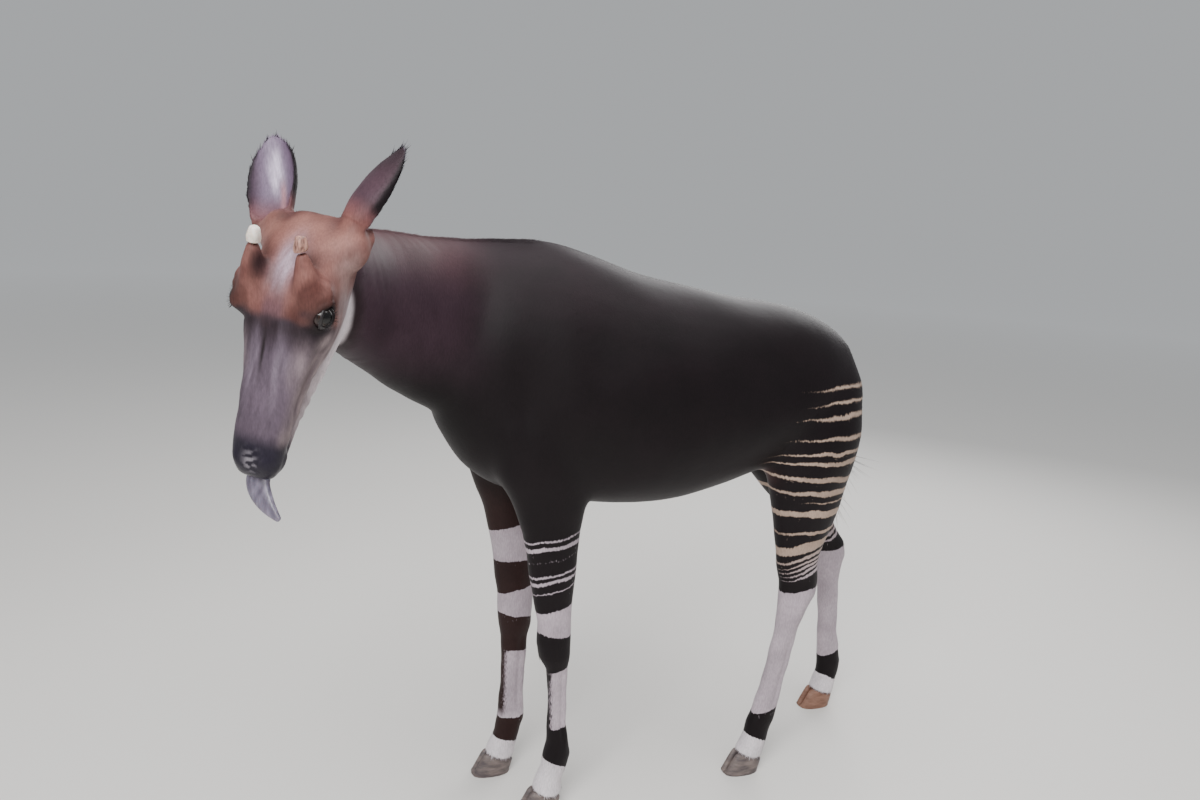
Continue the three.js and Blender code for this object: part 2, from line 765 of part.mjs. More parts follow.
addNode('ear_left', largest(earLeft), COLOURS.ear, SKIN_ROUGH);
addNode('ear_right', largest(earRight), COLOURS.ear, SKIN_ROUGH);

// Legs and hooves.
const legPieces = legsRaw.decompose();
Object.entries(legs).forEach(([name, rows]) => {
  const foot = rows[rows.length - 1];
  const piece = legPieces.reduce((best, candidate) => {
    const box = candidate.boundingBox();
    const bestBox = best.boundingBox();
    const away = (b) => Math.hypot((b.min[0] + b.max[0]) / 2 - foot[1], (b.min[1] + b.max[1]) / 2 - foot[2]);
    return away(box) < away(bestBox) ? candidate : best;
  });
  const coronet = new THREE.Vector3(foot[1] - CORONET_BACK, foot[2], CORONET);
  const [above] = split(piece, coronet, coronetNormal);
  addNode(`leg_${name}`, largest(above), COLOURS.leg, SKIN_ROUGH);
  [['left', 1], ['right', -1]].forEach(([clawName, side]) => {
    const [, below] = split(clawForm(foot[1] + CLAW_AHEAD, foot[2], side), coronet, coronetNormal);
    addNode(`hoof_${name}_${clawName}`, largest(below), COLOURS.hoof, HARD_ROUGH);
  });
});

const tail = tailForm().subtract(trunkForm(SEAM));
addNode('tail', largest(tail), COLOURS.tail, SKIN_ROUGH);

// Zero point to the middle of the bottom of the bounding box.
const box = new THREE.Box3().setFromObject(whole);
const shift = box.getCenter(new THREE.Vector3()).negate().setZ(-box.min.z);
whole.children.forEach((node) => node.geometry.translate(shift.x, shift.y, shift.z));

export default whole;
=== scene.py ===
"""A life-size okapi standing on a pale studio floor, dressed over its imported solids.

The flesh solids become one skin. Eyes, lids, lashes, horn tips, tongue and hooves are pieces of their own, and
short tufts of coat lie along the skin with its markings. Everything is in metres in the frame of the solids.
Two more frames are used, in millimetres: the animal's frame, with X forward, Y to its left, Z up and the origin
on the floor under its withers, and the head's own measures, along the nose, out of the forehead and sideways.
"""

import logging
import math
from dataclasses import dataclass
from enum import Enum
from typing import Callable, Sequence

import bmesh
import bpy
import numpy as np
from mathutils import Matrix, Vector


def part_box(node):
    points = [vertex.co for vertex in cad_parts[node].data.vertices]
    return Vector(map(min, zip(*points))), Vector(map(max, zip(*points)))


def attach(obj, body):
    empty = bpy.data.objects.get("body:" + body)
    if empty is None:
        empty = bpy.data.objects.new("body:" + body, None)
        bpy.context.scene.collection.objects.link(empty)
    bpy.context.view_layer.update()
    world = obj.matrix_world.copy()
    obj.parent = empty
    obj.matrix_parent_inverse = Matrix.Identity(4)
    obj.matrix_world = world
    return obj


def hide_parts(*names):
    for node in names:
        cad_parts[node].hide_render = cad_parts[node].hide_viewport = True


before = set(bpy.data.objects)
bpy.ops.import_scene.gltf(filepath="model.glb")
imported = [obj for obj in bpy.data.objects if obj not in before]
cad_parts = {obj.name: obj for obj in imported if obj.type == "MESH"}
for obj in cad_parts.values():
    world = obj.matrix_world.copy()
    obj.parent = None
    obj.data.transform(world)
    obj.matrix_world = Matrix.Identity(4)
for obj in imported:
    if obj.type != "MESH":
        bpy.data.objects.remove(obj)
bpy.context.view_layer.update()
LOG = logging.getLogger("okapi")
MM = 0.001
BODY = "root"
SEED = 20


class Side(Enum):
    """The animal's own sides."""

    LEFT = 1
    RIGHT = -1

    @property
    def word(self) -> str:
        """Name of the side as the solids' nodes write it."""
        return self.name.lower()


def linear(colour: str) -> tuple[float, float, float, float]:
    """Turns an sRGB hex colour into a linear one.

    Args:
        colour: six hex digits after a hash.

    Returns:
        Linear red, green, blue and an alpha of one.
    """
    parts = [int(colour[i:i + 2], 16) / 255 for i in (1, 3, 5)]
    values = [p / 12.92 if p <= 0.04045 else ((p + 0.055) / 1.055) ** 2.4 for p in parts]
    return values[0], values[1], values[2], 1.0


def rgb(colour: str) -> np.ndarray:
    """Linear colour of a hex value as an array of three."""
    return np.array(linear(colour)[:3])


def ease(values: np.ndarray, low: float, high: float) -> np.ndarray:
    """Smooth step from 0 at low to 1 at high; low may be the larger one."""
    part = np.clip((values - low) / (high - low), 0, 1)
    return part * part * (3 - 2 * part)


def blob(points: np.ndarray, middle: Sequence[float], reach: Sequence[float]) -> np.ndarray:
    """Soft spot that is 1 in its middle and fades over its reach.

    Args:
        points: n by 3 array.
        middle: centre of the spot.
        reach: distance along each axis at which it has faded to a third.

    Returns:
        n values from 0 to 1.
    """
    away = (points - np.array(middle)) / np.array(reach)
    return np.exp(-(away ** 2).sum(1))


def mix(base: np.ndarray, colour: str, amount: np.ndarray) -> np.ndarray:
    """Blends rows of colours towards one colour by an amount per row."""
    share = np.clip(amount, 0, 1)[:, None]
    return base * (1 - share) + rgb(colour) * share


def ripple(points: np.ndarray, size: float, seed: int) -> np.ndarray:
    """Smooth noise from crossing waves.

    Args:
        points: n by 3 array in millimetres.
        size: width of one swelling in millimetres.
        seed: choice of directions.

    Returns:
        n values, mostly between -1 and 1.
    """
    maker = np.random.default_rng(seed)
    total = np.zeros(len(points))
    for _ in range(7):
        way = maker.normal(size=3)
        way *= maker.uniform(0.6, 1.5) * math.pi / (size * np.linalg.norm(way))
        total += np.sin(points @ way + maker.uniform(0, 2 * math.pi))
    return total / 3.2


@dataclass(frozen=True)
class HeadFrame:
    """Where the head is: its poll and three turns, as the solids have them."""

    poll: tuple[float, float, float] = (690.0, 470.0, 1625.0)
    nod: float = 0.2672
    turn: float = 0.3994
    lean: float = 0.4765

    def axes(self) -> np.ndarray:
        """Rows: along the nose, out of the forehead, to the animal's left."""
        nose = np.array([math.sin(self.nod), 0, -math.cos(self.nod)])
        flat = np.array([math.cos(self.nod), 0, math.sin(self.nod)])
        left = np.array([0.0, 1.0, 0.0])
        brow = flat * math.cos(self.lean) + left * math.sin(self.lean)
        cheek = left * math.cos(self.lean) - flat * math.sin(self.lean)
        c, s = math.cos(self.turn), math.sin(self.turn)
        turn = np.array([[c, -s, 0], [s, c, 0], [0, 0, 1]])
        return np.array([turn @ nose, turn @ brow, turn @ cheek])

    def local(self, points: np.ndarray) -> np.ndarray:
        """Points of the animal's frame in the head's own measures, in millimetres."""
        return (points - np.array(self.poll)) @ self.axes().T

    def place(self, at: Sequence[float]) -> np.ndarray:
        """Point of the animal's frame for [along the nose, height, side]."""
        return np.array(self.poll) + np.array(at) @ self.axes()

    def way(self, along: Sequence[float]) -> np.ndarray:
        """Unit direction in the animal's frame for a direction of the head."""
        direction = np.array(along) @ self.axes()
        return direction / np.linalg.norm(direction)


HEAD = HeadFrame()
EYE_AT = (184.0, -22.0, 83.0)


def frame_shift() -> np.ndarray:
    """Millimetres from the animal's frame to the frame of the solids, read from the left eye."""
    low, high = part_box("eye_left")
    middle = np.array((low + high) / 2) / MM
    shift = middle - HEAD.place(EYE_AT)
    shift[2] = 0
    return shift


SHIFT = frame_shift()


def to_animal(points: np.ndarray) -> np.ndarray:
    """Metres in the frame of the solids to millimetres in the animal's frame."""
    return points / MM - SHIFT


def to_frame(points: np.ndarray) -> np.ndarray:
    """Millimetres in the animal's frame to metres in the frame of the solids."""
    return (points + SHIFT) * MM


def add(tree: bpy.types.NodeTree, kind: str, links: dict | None = None, values: dict | None = None,
        **settings) -> bpy.types.Node:
    """Adds a node with its settings and links.

    Args:
        tree: the material's node tree.
        kind: the node's type name, after its ShaderNode.
        links: input name or number to the socket, or to the node whose first output, that feeds it.
        values: input name or number to its set value.
        settings: attributes of the node.

    Returns:
        The node.
    """
    node = tree.nodes.new("ShaderNode" + kind)
    for key, value in settings.items():
        setattr(node, key, value)
    for key, value in (values or {}).items():
        node.inputs[key].default_value = value
    for key, source in (links or {}).items():
        socket = source if isinstance(source, bpy.types.NodeSocket) else source.outputs[0]
        tree.links.new(socket, node.inputs[key])
    return node


def set_ramp(node: bpy.types.ShaderNodeValToRGB, stops: Sequence[tuple[float, tuple]]) -> None:
    """Gives a colour ramp its stops.

    Args:
        node: the ramp's node.
        stops: place and colour of each, in rising order.
    """
    ramp = node.color_ramp
    ramp.interpolation = "LINEAR"
    while len(ramp.elements) > 1:
        ramp.elements.remove(ramp.elements[-1])
    ramp.elements[0].position, ramp.elements[0].color = stops[0]
    for place, colour in stops[1:]:
        ramp.elements.new(place).color = colour


@dataclass(frozen=True)
class Band:
    """A pale stripe or band of a leg: height of its middle, half width (mm), strength and flat part."""

    height: float
    half: float
    strength: float = 1.0
    flat: float = 0.0


@dataclass(frozen=True)
class BandRamp:
    """Bands of one leg between two heights, as stops of one colour ramp."""

    low: float
    high: float
    bands: tuple[Band, ...]

    def stops(self) -> list[tuple[float, tuple]]:
        """Stops that rise to each band's strength and fall to nothing between bands."""
        stops: list[tuple[float, tuple]] = []
        for band in sorted(self.bands, key=lambda b: b.height):
            ends = (-band.flat, band.flat) if band.flat else (0.0,)
            peak = [(end, band.strength) for end in ends]
            for offset, value in ((-band.half, 0.0), *peak, (band.half, 0.0)):
                place = (band.height + offset - self.low) / (self.high - self.low)
                stops.append((min(max(place, 0.0), 1.0), (value, value, value, 1)))
        return stops


FORE_LEFT_BANDS = BandRamp(0, 860, (
    Band(96, 52, 1, 46), Band(340, 92, 1, 84), Band(571, 42, 1, 32), Band(665, 5, 0.6), Band(695, 9, 0.85),
    Band(713, 7, 0.7), Band(754, 6, 0.45), Band(790, 10, 0.95), Band(811, 6, 0.7)))
FORE_RIGHT_BANDS = BandRamp(0, 860, (
    Band(76, 34, 1, 28), Band(282, 108, 1, 100), Band(536, 44, 1, 36), Band(718, 56, 1, 48)))
HIND_LOW_BANDS = BandRamp(0, 860, (
    Band(74, 40, 1, 30), Band(388, 196, 1, 186), Band(622, 6, 0.8), Band(637, 6, 0.85), Band(653, 7, 0.9),
    Band(669, 6, 0.85), Band(688, 9, 0.95), Band(722, 20, 1, 8), Band(768, 8, 0.95)))
HIND_HIGH_BANDS = BandRamp(800, 1300, (
    Band(826, 15, 1, 3), Band(862, 5, 0.5), Band(890, 13, 0.95), Band(932, 13, 0.95), Band(982, 10, 0.9),
    Band(1010, 9, 0.8), Band(1053, 11, 0.62), Band(1112, 12, 0.62), Band(1150, 10, 0.5), Band(1192, 11, 0.5)))
HIND_SLOPES = ((60, -35), (110, -35), (200, 30), (575, 10), (650, 55), (720, 40), (768, 9), (900, -6),
               (950, -14), (1000, 10), (1120, 14))


@dataclass(frozen=True)
class LegPlan:
    """Places of one leg's middle: rows of height, x, half depth and y in millimetres, and how bands slope."""

    rows: tuple[tuple[float, float, float, float], ...]
    slopes: tuple[tuple[float, float], ...]
    number: int

    def backness(self, points: np.ndarray) -> np.ndarray:
        """Finds how far back each point lies on the leg at its own height.

        Args:
            points: places in the animal's frame.

        Returns:
            0 at the leg's front edge and 1 at its back edge.
        """
        table = np.array(self.rows[::-1])
        middle = np.interp(points[:, 2], table[:, 0], table[:, 1])
        depth = np.interp(points[:, 2], table[:, 0], table[:, 2])
        return 0.5 - 0.5 * (points[:, 0] - middle) / depth

    def level(self, points: np.ndarray, back: np.ndarray) -> np.ndarray:
        """Finds the height along the leg with the slope of its bands taken out.

        Args:
            points: places in the animal's frame.
            back: how far back each lies.

        Returns:
            Millimetres over the floor, level along each band.
        """
        table = np.array(self.slopes)
        slope = np.interp(points[:, 2], table[:, 0], table[:, 1])
        return points[:, 2] - slope * (np.clip(back, -0.2, 1.2) - 0.5)


LEGS = {
    "fore_left": LegPlan(
        ((1260, 112, 118, 104), (980, 74, 124, 118), (900, 50, 104, 116), (820, 42, 80, 114),
         (648, 29, 59, 112), (510, 20, 49, 111), (425, 7, 30, 109), (265, 0, 27, 107),
         (165, -7, 41, 105), (92, 12, 40, 104), (50, 20, 46, 104)),
        ((60, -30), (130, -37), (260, 15), (430, 20), (538, -17), (603, 32), (830, 22)), 0),
    "fore_right": LegPlan(
        ((1260, 116, 118, -104), (980, 104, 120, -118), (900, 92, 100, -117), (820, 80, 80, -115),
         (648, 64, 62, -112), (510, 57, 53, -110), (425, 57, 41, -109), (265, 59, 36, -107),
         (165, 60, 41, -106), (92, 82, 41, -106), (50, 92, 47, -106)),
        ((60, -30), (100, -30), (175, 5), (385, -5), (495, -24), (575, 34), (666, 0), (771, 44)), 1),
    "hind_left": LegPlan(
        ((1310, -744, 150, 70), (1190, -752, 160, 104), (1060, -744, 152, 118), (950, -736, 138, 123),
         (870, -737, 120, 126), (796, -737, 102, 127), (720, -731, 81, 127), (655, -728, 68, 126),
         (600, -742, 66, 125), (505, -728, 46, 124), (450, -718, 38, 124), (270, -684, 36, 123),
         (160, -658, 44, 123), (88, -636, 42, 123), (50, -624, 48, 123)),
        HIND_SLOPES, 2),
    "hind_right": LegPlan(
        ((1310, -748, 150, -70), (1190, -760, 160, -104), (1060, -764, 160, -118), (950, -786, 146, -123),
         (870, -820, 122, -126), (796, -866, 100, -127), (720, -926, 80, -127), (655, -986, 66, -127),
         (600, -1034, 62, -127), (505, -1050, 46, -127), (450, -1054, 40, -127), (270, -1074, 37, -127),
         (160, -1094, 45, -127), (88, -1082, 42, -127), (50, -1072, 48, -127)),
        HIND_SLOPES, 2),
}


@dataclass(frozen=True)
class EarPlan:
    """An ear's root, tip and the way its cup opens, in the head's measures."""

    root: tuple[float, float, float]
    tip: tuple[float, float, float]
    opening: tuple[float, float, float]
    half: float = 54.0

    def measures(self, points: np.ndarray) -> tuple[np.ndarray, np.ndarray, np.ndarray, np.ndarray]:
        """Share of the length, place across, place towards the opening, and the opening's direction.

        Args:
            points: n by 3 array in the animal's frame.

        Returns:
            Three arrays of n values, and one direction.
        """
        root, tip = HEAD.place(self.root), HEAD.place(self.tip)
        axis = tip - root
        length = np.linalg.norm(axis)
        axis /= length
        opening = HEAD.way(self.opening)
        opening -= axis * (opening @ axis)
        opening /= np.linalg.norm(opening)
        across = np.cross(axis, opening)
        away = points - root
        return away @ axis / length, away @ across, away @ opening, opening


EARS = {
    Side.LEFT: EarPlan((34, -80, 70), (-156, -104, 119), (0.2, -0.85, 0.5), 50.0),
    Side.RIGHT: EarPlan((48, -72, -102), (-133, -104, -165), (0, 1, -0.12), 59.0),
}


@dataclass(frozen=True)
class Spot:
    """A soft spot of colour on the head: tone, place, reach and strength.

    Part of the strength may follow the hair's streaks. A paired spot is on both sides of the head.
    """

    tone: str
    at: tuple[float, float, float]
    reach: tuple[float, float, float]
    strength: float
    streaky: float = 0.0
    paired: bool = True


BROW_SPOTS = (
    Spot("#4a2d2c", (15, -60, 49), (24, 60, 16), 0.7),
    Spot("#a08c99", (104, 6, 2), (48, 60, 21), 0.75, 0.4, False),
    Spot("#1f1519", (118, 14, -37), (26, 40, 9), 0.85, 0.0, False),
    Spot("#1f1519", (108, 16, 37), (24, 40, 7), 0.7, 0.0, False),
)
BRIDGE_SPOTS = (
    Spot("#1f1518", (222, -14, 30), (14, 60, 36), 0.9),
    Spot("#756875", (285, -12, 27), (52, 30, 13), 0.4, 0.5),
    Spot("#8d7d80", (276, -34, 56), (44, 16, 14), 0.3, 0.6),
    Spot("#17100f", (272, -6, -9), (42, 40, 3.5), 0.95, 0.0, False),
)
TEMPLE_SPOTS = (Spot("#957a76", (96, -62, 92), (44, 26, 34), 0.55, 0.5),)
CHEEK_AND_EYE_SHADE_SPOTS = (
    Spot("#3a2b30", (300, -58, 47), (62, 9, 30), 0.75),
    Spot("#3a2b30", (356, -84, 44), (44, 8, 30), 0.6),
    # dark skin round each eye, deepened by painted shade under the brow's overhang
    Spot("#090607", (186, -21, 93), (29, 23, 26), 1.7),
    Spot("#160f11", (204, -30, 84), (20, 16, 26), 0.9),
)


class CoatFields:
    """Everything the coat's finish reads, worked out at points of the skin."""

    def __init__(self, points: np.ndarray, normals: np.ndarray) -> None:
        """Places the points on head and ears.

        Args:
            points: places in the animal's frame.
            normals: the skin's own normals there.
        """
        self.points = points
        self.normals = normals
        self.head = HEAD.local(points)
        self.on_head = self._head_share()
        self.ears = {side: plan.measures(points) for side, plan in EARS.items()}
        self.on_ear = {side: self._ear_share(side) for side in EARS}

    def _past_throat(self) -> np.ndarray:
        """Millimetres in front of the slanting cut between neck and head."""
        along, height, _ = self.head.T
        return 0.5 * (along - 70) + 0.866 * (height + 150)

    def _head_share(self) -> np.ndarray:
        """1 on the head and 0 from the neck on."""
        return ease(self._past_throat(), -26, 14)

    def _ear_share(self, side: Side) -> np.ndarray:
        """1 on one ear and 0 from its root on."""
        share, across, depth, _ = self.ears[side]
        near = (np.abs(across) < 72) & (np.abs(depth) < 62) & (share < 1.15)
        return ease(share, 0.06, 0.24) * near

    def leg_of(self) -> np.ndarray:
        """Number of the leg plan nearest each point: 0 to 3."""
        fore = self.points[:, 0] > -330
        left = self.points[:, 1] > 0
        return np.where(fore, np.where(left, 0, 1), np.where(left, 2, 3))

    def marks(self) -> tuple[np.ndarray, np.ndarray]:
        """Band level (m), backness and share of the bands, and which leg's bands they are."""
        result = np.zeros((len(self.points), 3))
        kind = np.zeros(len(self.points))
        which = self.leg_of()
        for index, plan in enumerate(LEGS.values()):
            here = which == index
            back = plan.backness(self.points[here])
            result[here, 0] = plan.level(self.points[here], back) * MM
            result[here, 1] = back
            top = (850, 825) if index < 2 else (1235, 1185)
            result[here, 2] = ease(self.points[here, 2], *top)
            if index > 1:
                result[here, 2] *= np.maximum(ease(back, -0.22, -0.02), ease(self.points[here, 2], 760, 720))
            kind[here] = plan.number / 2
        result[:, 2] *= 1 - self.on_head
        return result, kind

    def body_colour(self) -> np.ndarray:
        """Colour of trunk, neck and legs under their bands, with painted sheen on the withers and upper neck
        and painted shade under the neck.
        """
        x, y, z = self.points.T
        colour = np.tile(rgb("#10090c"), (len(x), 1))
        # painted sheen: the body grows lighter towards its top, as if lit from above
        colour = mix(colour, "#20151a", ease(z, 1300, 1540) * 0.8)
        neck = ease(x, 180, 420)
        drop = z - (1350 + 0.25 * (x - 300))
        # painted sheen on the upper side of the neck, and a brighter painted highlight along its crest
        colour = mix(colour, "#3c2b34", neck * ease(drop, -190, -40))
        colour = mix(colour, "#4c3234", neck * ease(drop, 60, 190) * 0.85)
        # painted shade on the underside of the neck
        colour = mix(colour, "#0c0809", neck * ease(drop, -130, -230) * 0.9)
        colour = mix(colour, "#2c1a18", ease(z, 1020, 800) * ease(x, -200, 0) * ease(y, 40, -60) * 0.8)
        folds = sum(blob(self.points, (-588, 95 * side.value, 925), (26, 60, 26)) for side in Side)
        return mix(colour, "#4c2e2e", folds * 0.8)

    def _spotted(self, colour: np.ndarray, spots: tuple[Spot, ...], streak: np.ndarray) -> np.ndarray:
        """Lays spots over the head's colour, one after the other.

        Args:
            colour: rows of colours.
            spots: what is laid over them, in order.
            streak: the hair's streaks, 0 to 1.

        Returns:
            Rows of colours.
        """
        for spot in spots:
            at = np.c_[self.head[:, :2], np.abs(self.head[:, 2])] if spot.paired else self.head
            strength = spot.strength + spot.streaky * streak
            colour = mix(colour, spot.tone, blob(at, spot.at, spot.reach) * strength)
        return colour

    def head_colour(self) -> np.ndarray:
        """Colour of the head from poll to muzzle, with a painted highlight on its top and painted shade under
        the throat and round the eyes.
        """
        along, height, side = self.head.T
        wide = np.abs(side)
        streak = 0.5 + 0.5 * ripple(np.c_[along * 0.35, height * 0.6, side], 7, 21)
        patchy = 0.5 + 0.5 * ripple(self.head, 24, 22)
        colour = np.tile(rgb("#65403b"), (len(along), 1))
        colour = mix(colour, "#8a6058", patchy * 0.5)
        colour = mix(colour, "#3f231f", ease(ripple(self.head, 34, 24), 0.0, 0.9) * 0.55)
        # painted highlight: the top of the head behind the brow is lighter, as if lit from above
        top = ease(along, 96, 30) * ease(height, -70, -30)
        colour = mix(colour, "#8f6258", top * (0.3 + 0.6 * patchy))
        colour = self._spotted(colour, BROW_SPOTS, streak)
        colour = mix(colour, "#584047", ease(along, 150, 196) * ease(wide, 30, 12) * 0.7)
        under = ease(along + 0.12 * wide + 9 * ripple(self.head, 22, 23), 192, 226)
        colour = mix(colour, "#332930", under)
        colour = mix(colour, "#554954", under * ease(along, 236, 286) * (0.75 + 0.3 * streak))
        colour = self._spotted(colour, BRIDGE_SPOTS, streak)
        cheek = ease(height, -28, -54) * ease(along, 200, 236) + ease(height, -46, -76) * ease(along, 96, 150)
        colour = mix(colour, "#88797a", np.clip(cheek, 0, 1) * (0.45 + 0.6 * streak))
        colour = self._spotted(colour, TEMPLE_SPOTS, streak)
        jaw = ease(height, -84, -118) * ease(along, 110, 170)
        colour = mix(colour, "#b5a8ac", jaw * (0.6 + 0.5 * streak))
        colour = mix(colour, "#ddd2d6", ease(height, -112, -150) * ease(along, 96, 150) * 0.9)
        # painted shadow under the throat, where the head overhangs the neck
        colour = mix(colour, "#2a1d21", ease(self._past_throat(), 36, 14) * ease(height, -100, -122))
        # dark lines on the cheeks, and near-black skin round the eyes deepened by painted shade under the brow
        colour = self._spotted(colour, CHEEK_AND_EYE_SHADE_SPOTS, streak)
        bare = ease(along, 412, 446)
        colour = mix(colour, "#24202a", bare * ease(height, -125, -96))
        colour = mix(colour, "#1f1a20", bare * ease(height, -96, -125))
        smudge = blob(self.head, (469, -40, 4), (19, 22, 13)) * ease(ripple(self.head, 7, 3), -0.1, 0.3)
        return mix(colour, "#a39ca4", smudge * 0.8)

    def ear_colour(self, side: Side) -> np.ndarray:
        """Colour of an ear: dark back and rim, pale inside with a painted highlight, red root.

        Args:
            side: which ear.

        Returns:
            Rows of colours.
        """
        share, across, _, opening = self.ears[side]
        inside = ease(self.normals @ opening, -0.05, 0.3)
        streak = 0.5 + 0.5 * ripple(np.c_[share * 40, across, across * 0], 5, 31)
        back = np.tile(rgb("#46323b"), (len(share), 1))
        back = mix(back, "#120c0f", ease(share, 0.5, 0.95) * 0.7)
        back = mix(back, "#6f4644", ease(share, 0.42, 0.14))
        inner = np.tile(rgb("#66566a"), (len(share), 1))
        # pale hair inside the ear, brightened by a painted highlight where light from above falls into the cup
        pale_hair_and_highlight = np.exp(-((share - 0.66) / 0.24) ** 2 - ((across + 3) / 17) ** 2)
        inner = mix(inner, "#cdc0d6", pale_hair_and_highlight * (0.6 + 0.6 * streak))
        inner = mix(inner, "#3b2b36", ease(np.abs(across), 30, 50) * 0.75)
        inner = mix(inner, "#6a4649", ease(share, 0.46, 0.2) * 0.85)
        inner = mix(inner, "#a87c82", np.exp(-((across - 9) / 7) ** 2) * ease(share, 0.62, 0.42) * 0.8)
        colour = back * (1 - inside[:, None]) + inner * inside[:, None]
        outline = np.interp(share, (0, 0.24, 0.42, 0.6, 0.76, 0.88, 0.96, 1),
                            (0.76, 0.87, 1, 1, 0.85, 0.59, 0.33, 0.15)) * EARS[side].half
        edge = ease(np.abs(across) / outline, 0.80, 0.95)
        return mix(colour, "#0e090c", edge * ease(share, 0.22, 0.36) * 0.95)

    def colour(self) -> np.ndarray:
        """Colour of the coat at every point, without the legs' bands."""
        share = self.on_head[:, None]
        colour = self.body_colour() * (1 - share) + self.head_colour() * share
        for side in EARS:
            ear = self.on_ear[side][:, None]
            colour = colour * (1 - ear) + self.ear_colour(side) * ear
        return mix(colour, "#0c0809", self.on_tail())

    def on_tail(self) -> np.ndarray:
        """1 on the tail's lower part."""
        x, y, z = self.points.T
        return ease(z, 1110, 1060) * (np.abs(y) < 34) * (x < np.where(z > 900, -880, -860))

    def gloss(self) -> np.ndarray:
        """1 on bare wet skin of the muzzle, 0 on fur."""
        along, height, _ = self.head.T
        return self.on_head * ease(along, 418, 452) * ease(height, -128, -100)

    def lie(self) -> np.ndarray:
        """Direction in which the hair lies, along the skin."""
        x = self.points[:, 0]
        way = np.tile(np.array([-1.0, 0.0, -0.35]), (len(x), 1))
        low = ease(self.points[:, 2], 980, 860)[:, None]
        way = way * (1 - low) + np.array([-0.15, 0.0, -1.0]) * low
        nape = (ease(x, 220, 380) * (1 - self.on_head))[:, None]
        way = way * (1 - nape) + np.array([-0.8, -0.45, -0.35]) * nape
        share = self.on_head[:, None]
        up_face = HEAD.way((-1.0, -0.25, 0.0))
        way = way * (1 - share) + up_face * share
        hanging = self.on_tail()[:, None]
        way = way * (1 - hanging) + np.array([0.0, 0.0, -1.0]) * hanging
        for side, plan in EARS.items():
            ear = self.on_ear[side][:, None]
            axis = HEAD.place(plan.tip) - HEAD.place(plan.root)
            way = way * (1 - ear) + axis / np.linalg.norm(axis) * ear
        way -= self.normals * (way * self.normals).sum(1)[:, None]
        return way / np.maximum(np.linalg.norm(way, axis=1), 1e-6)[:, None]


def mesh_arrays(mesh: bpy.types.Mesh) -> tuple[np.ndarray, np.ndarray]:
    """Reads a mesh's vertices.

    Args:
        mesh: the mesh to read.

    Returns:
        Places and normals, each an array of n by 3.
    """
    count = len(mesh.vertices)
    places = np.empty(count * 3)
    mesh.vertices.foreach_get("co", places)
    normals = np.empty(count * 3, np.float32)
    mesh.vertex_normals.foreach_get("vector", normals)
    return places.reshape(-1, 3), normals.reshape(-1, 3).astype(float)


def write_fields(mesh: bpy.types.Mesh, fields: CoatFields, repeat: int = 1,
                 tint: np.ndarray | float = 1.0) -> None:
    """Writes the coat's colour, bands and gloss as attributes of a mesh.

    Args:
        mesh: the skin or a coat piece.
        fields: the fields at its points or roots.
        repeat: vertices that share one root.
        tint: brightness of each root's colour.
    """
    marks, kind = fields.marks()
    colour = np.ones((len(fields.points), 4))
    colour[:, :3] = fields.colour() * np.reshape(tint, (-1, 1))
    for name, kind_name, key, values in (
            ("coat_colour", "FLOAT_COLOR", "color", colour), ("bands", "FLOAT_VECTOR", "vector", marks),
            ("leg", "FLOAT", "value", kind[:, None]), ("wet", "FLOAT", "value", fields.gloss()[:, None])):
        layer = mesh.attributes.new(name, kind_name, "POINT")
        layer.data.foreach_set(key, np.repeat(values, repeat, axis=0).astype(np.float32).ravel())


def relax(mesh: bpy.types.Mesh, share: np.ndarray, rounds: int) -> None:
    """Evens a surface where share is above 0, by moving points towards their neighbours' middle.

    Args:
        mesh: the mesh to change.
        share: how far each vertex moves in one round, 0 to 1.
        rounds: number of rounds.
    """
    places, _ = mesh_arrays(mesh)
    ends = np.empty(len(mesh.edges) * 2, np.int32)
    mesh.edges.foreach_get("vertices", ends)
    first, second = ends[0::2], ends[1::2]
    sources, targets = np.r_[first, second], np.r_[second, first]
    number = np.bincount(sources, minlength=len(places))[:, None]
    for _ in range(rounds):
        near = np.stack([np.bincount(sources, places[targets, axis], len(places)) for axis in range(3)], 1)
        places += (near / np.maximum(number, 1) - places) * share[:, None]
    mesh.vertices.foreach_set("co", places.ravel())
    mesh.update()


def new_object(name: str, mesh: bpy.types.Mesh, material: bpy.types.Material) -> bpy.types.Object:
    """Makes an object of a finished mesh, dresses it and lets it ride on the body.

    Args:
        name: the piece's name.
        mesh: its finished mesh.
        material: its finish.

    Returns:
        The piece.
    """
    mesh.name = name
    item = bpy.data.objects.new(name, mesh)
    bpy.context.scene.collection.objects.link(item)
    mesh.materials.clear()
    mesh.materials.append(material)
    mesh.polygons.foreach_set("use_smooth", np.ones(len(mesh.polygons), bool))
    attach(item, BODY)
    LOG.info("%s: %d faces", name, len(mesh.polygons))
    return item


def dressed(name: str, work: bmesh.types.BMesh, material: bpy.types.Material) -> bpy.types.Object:
    """Makes a dressed object of a finished bmesh, and frees that.

    Args:
        name: the piece's name.
        work: its finished shape.
        material: its finish.

    Returns:
        The piece.
    """
    mesh = bpy.data.meshes.new(name)
    work.to_mesh(mesh)
    work.free()
    return new_object(name, mesh, material)


def node_bmesh(node: str, grow: float = 0.0) -> bmesh.types.BMesh:
    """Copies a solid's mesh and merges its loose triangles.

    Args:
        node: the solid's name.
        grow: metres by which it grows outwards.

    Returns:
        The copy.
    """
    work = bmesh.new()
    work.from_mesh(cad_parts[node].data)
    bmesh.ops.remove_doubles(work, verts=work.verts, dist=2e-6)
    work.normal_update()
    if grow:
        for vertex in work.verts:
            vertex.co += vertex.normal * grow
    return work


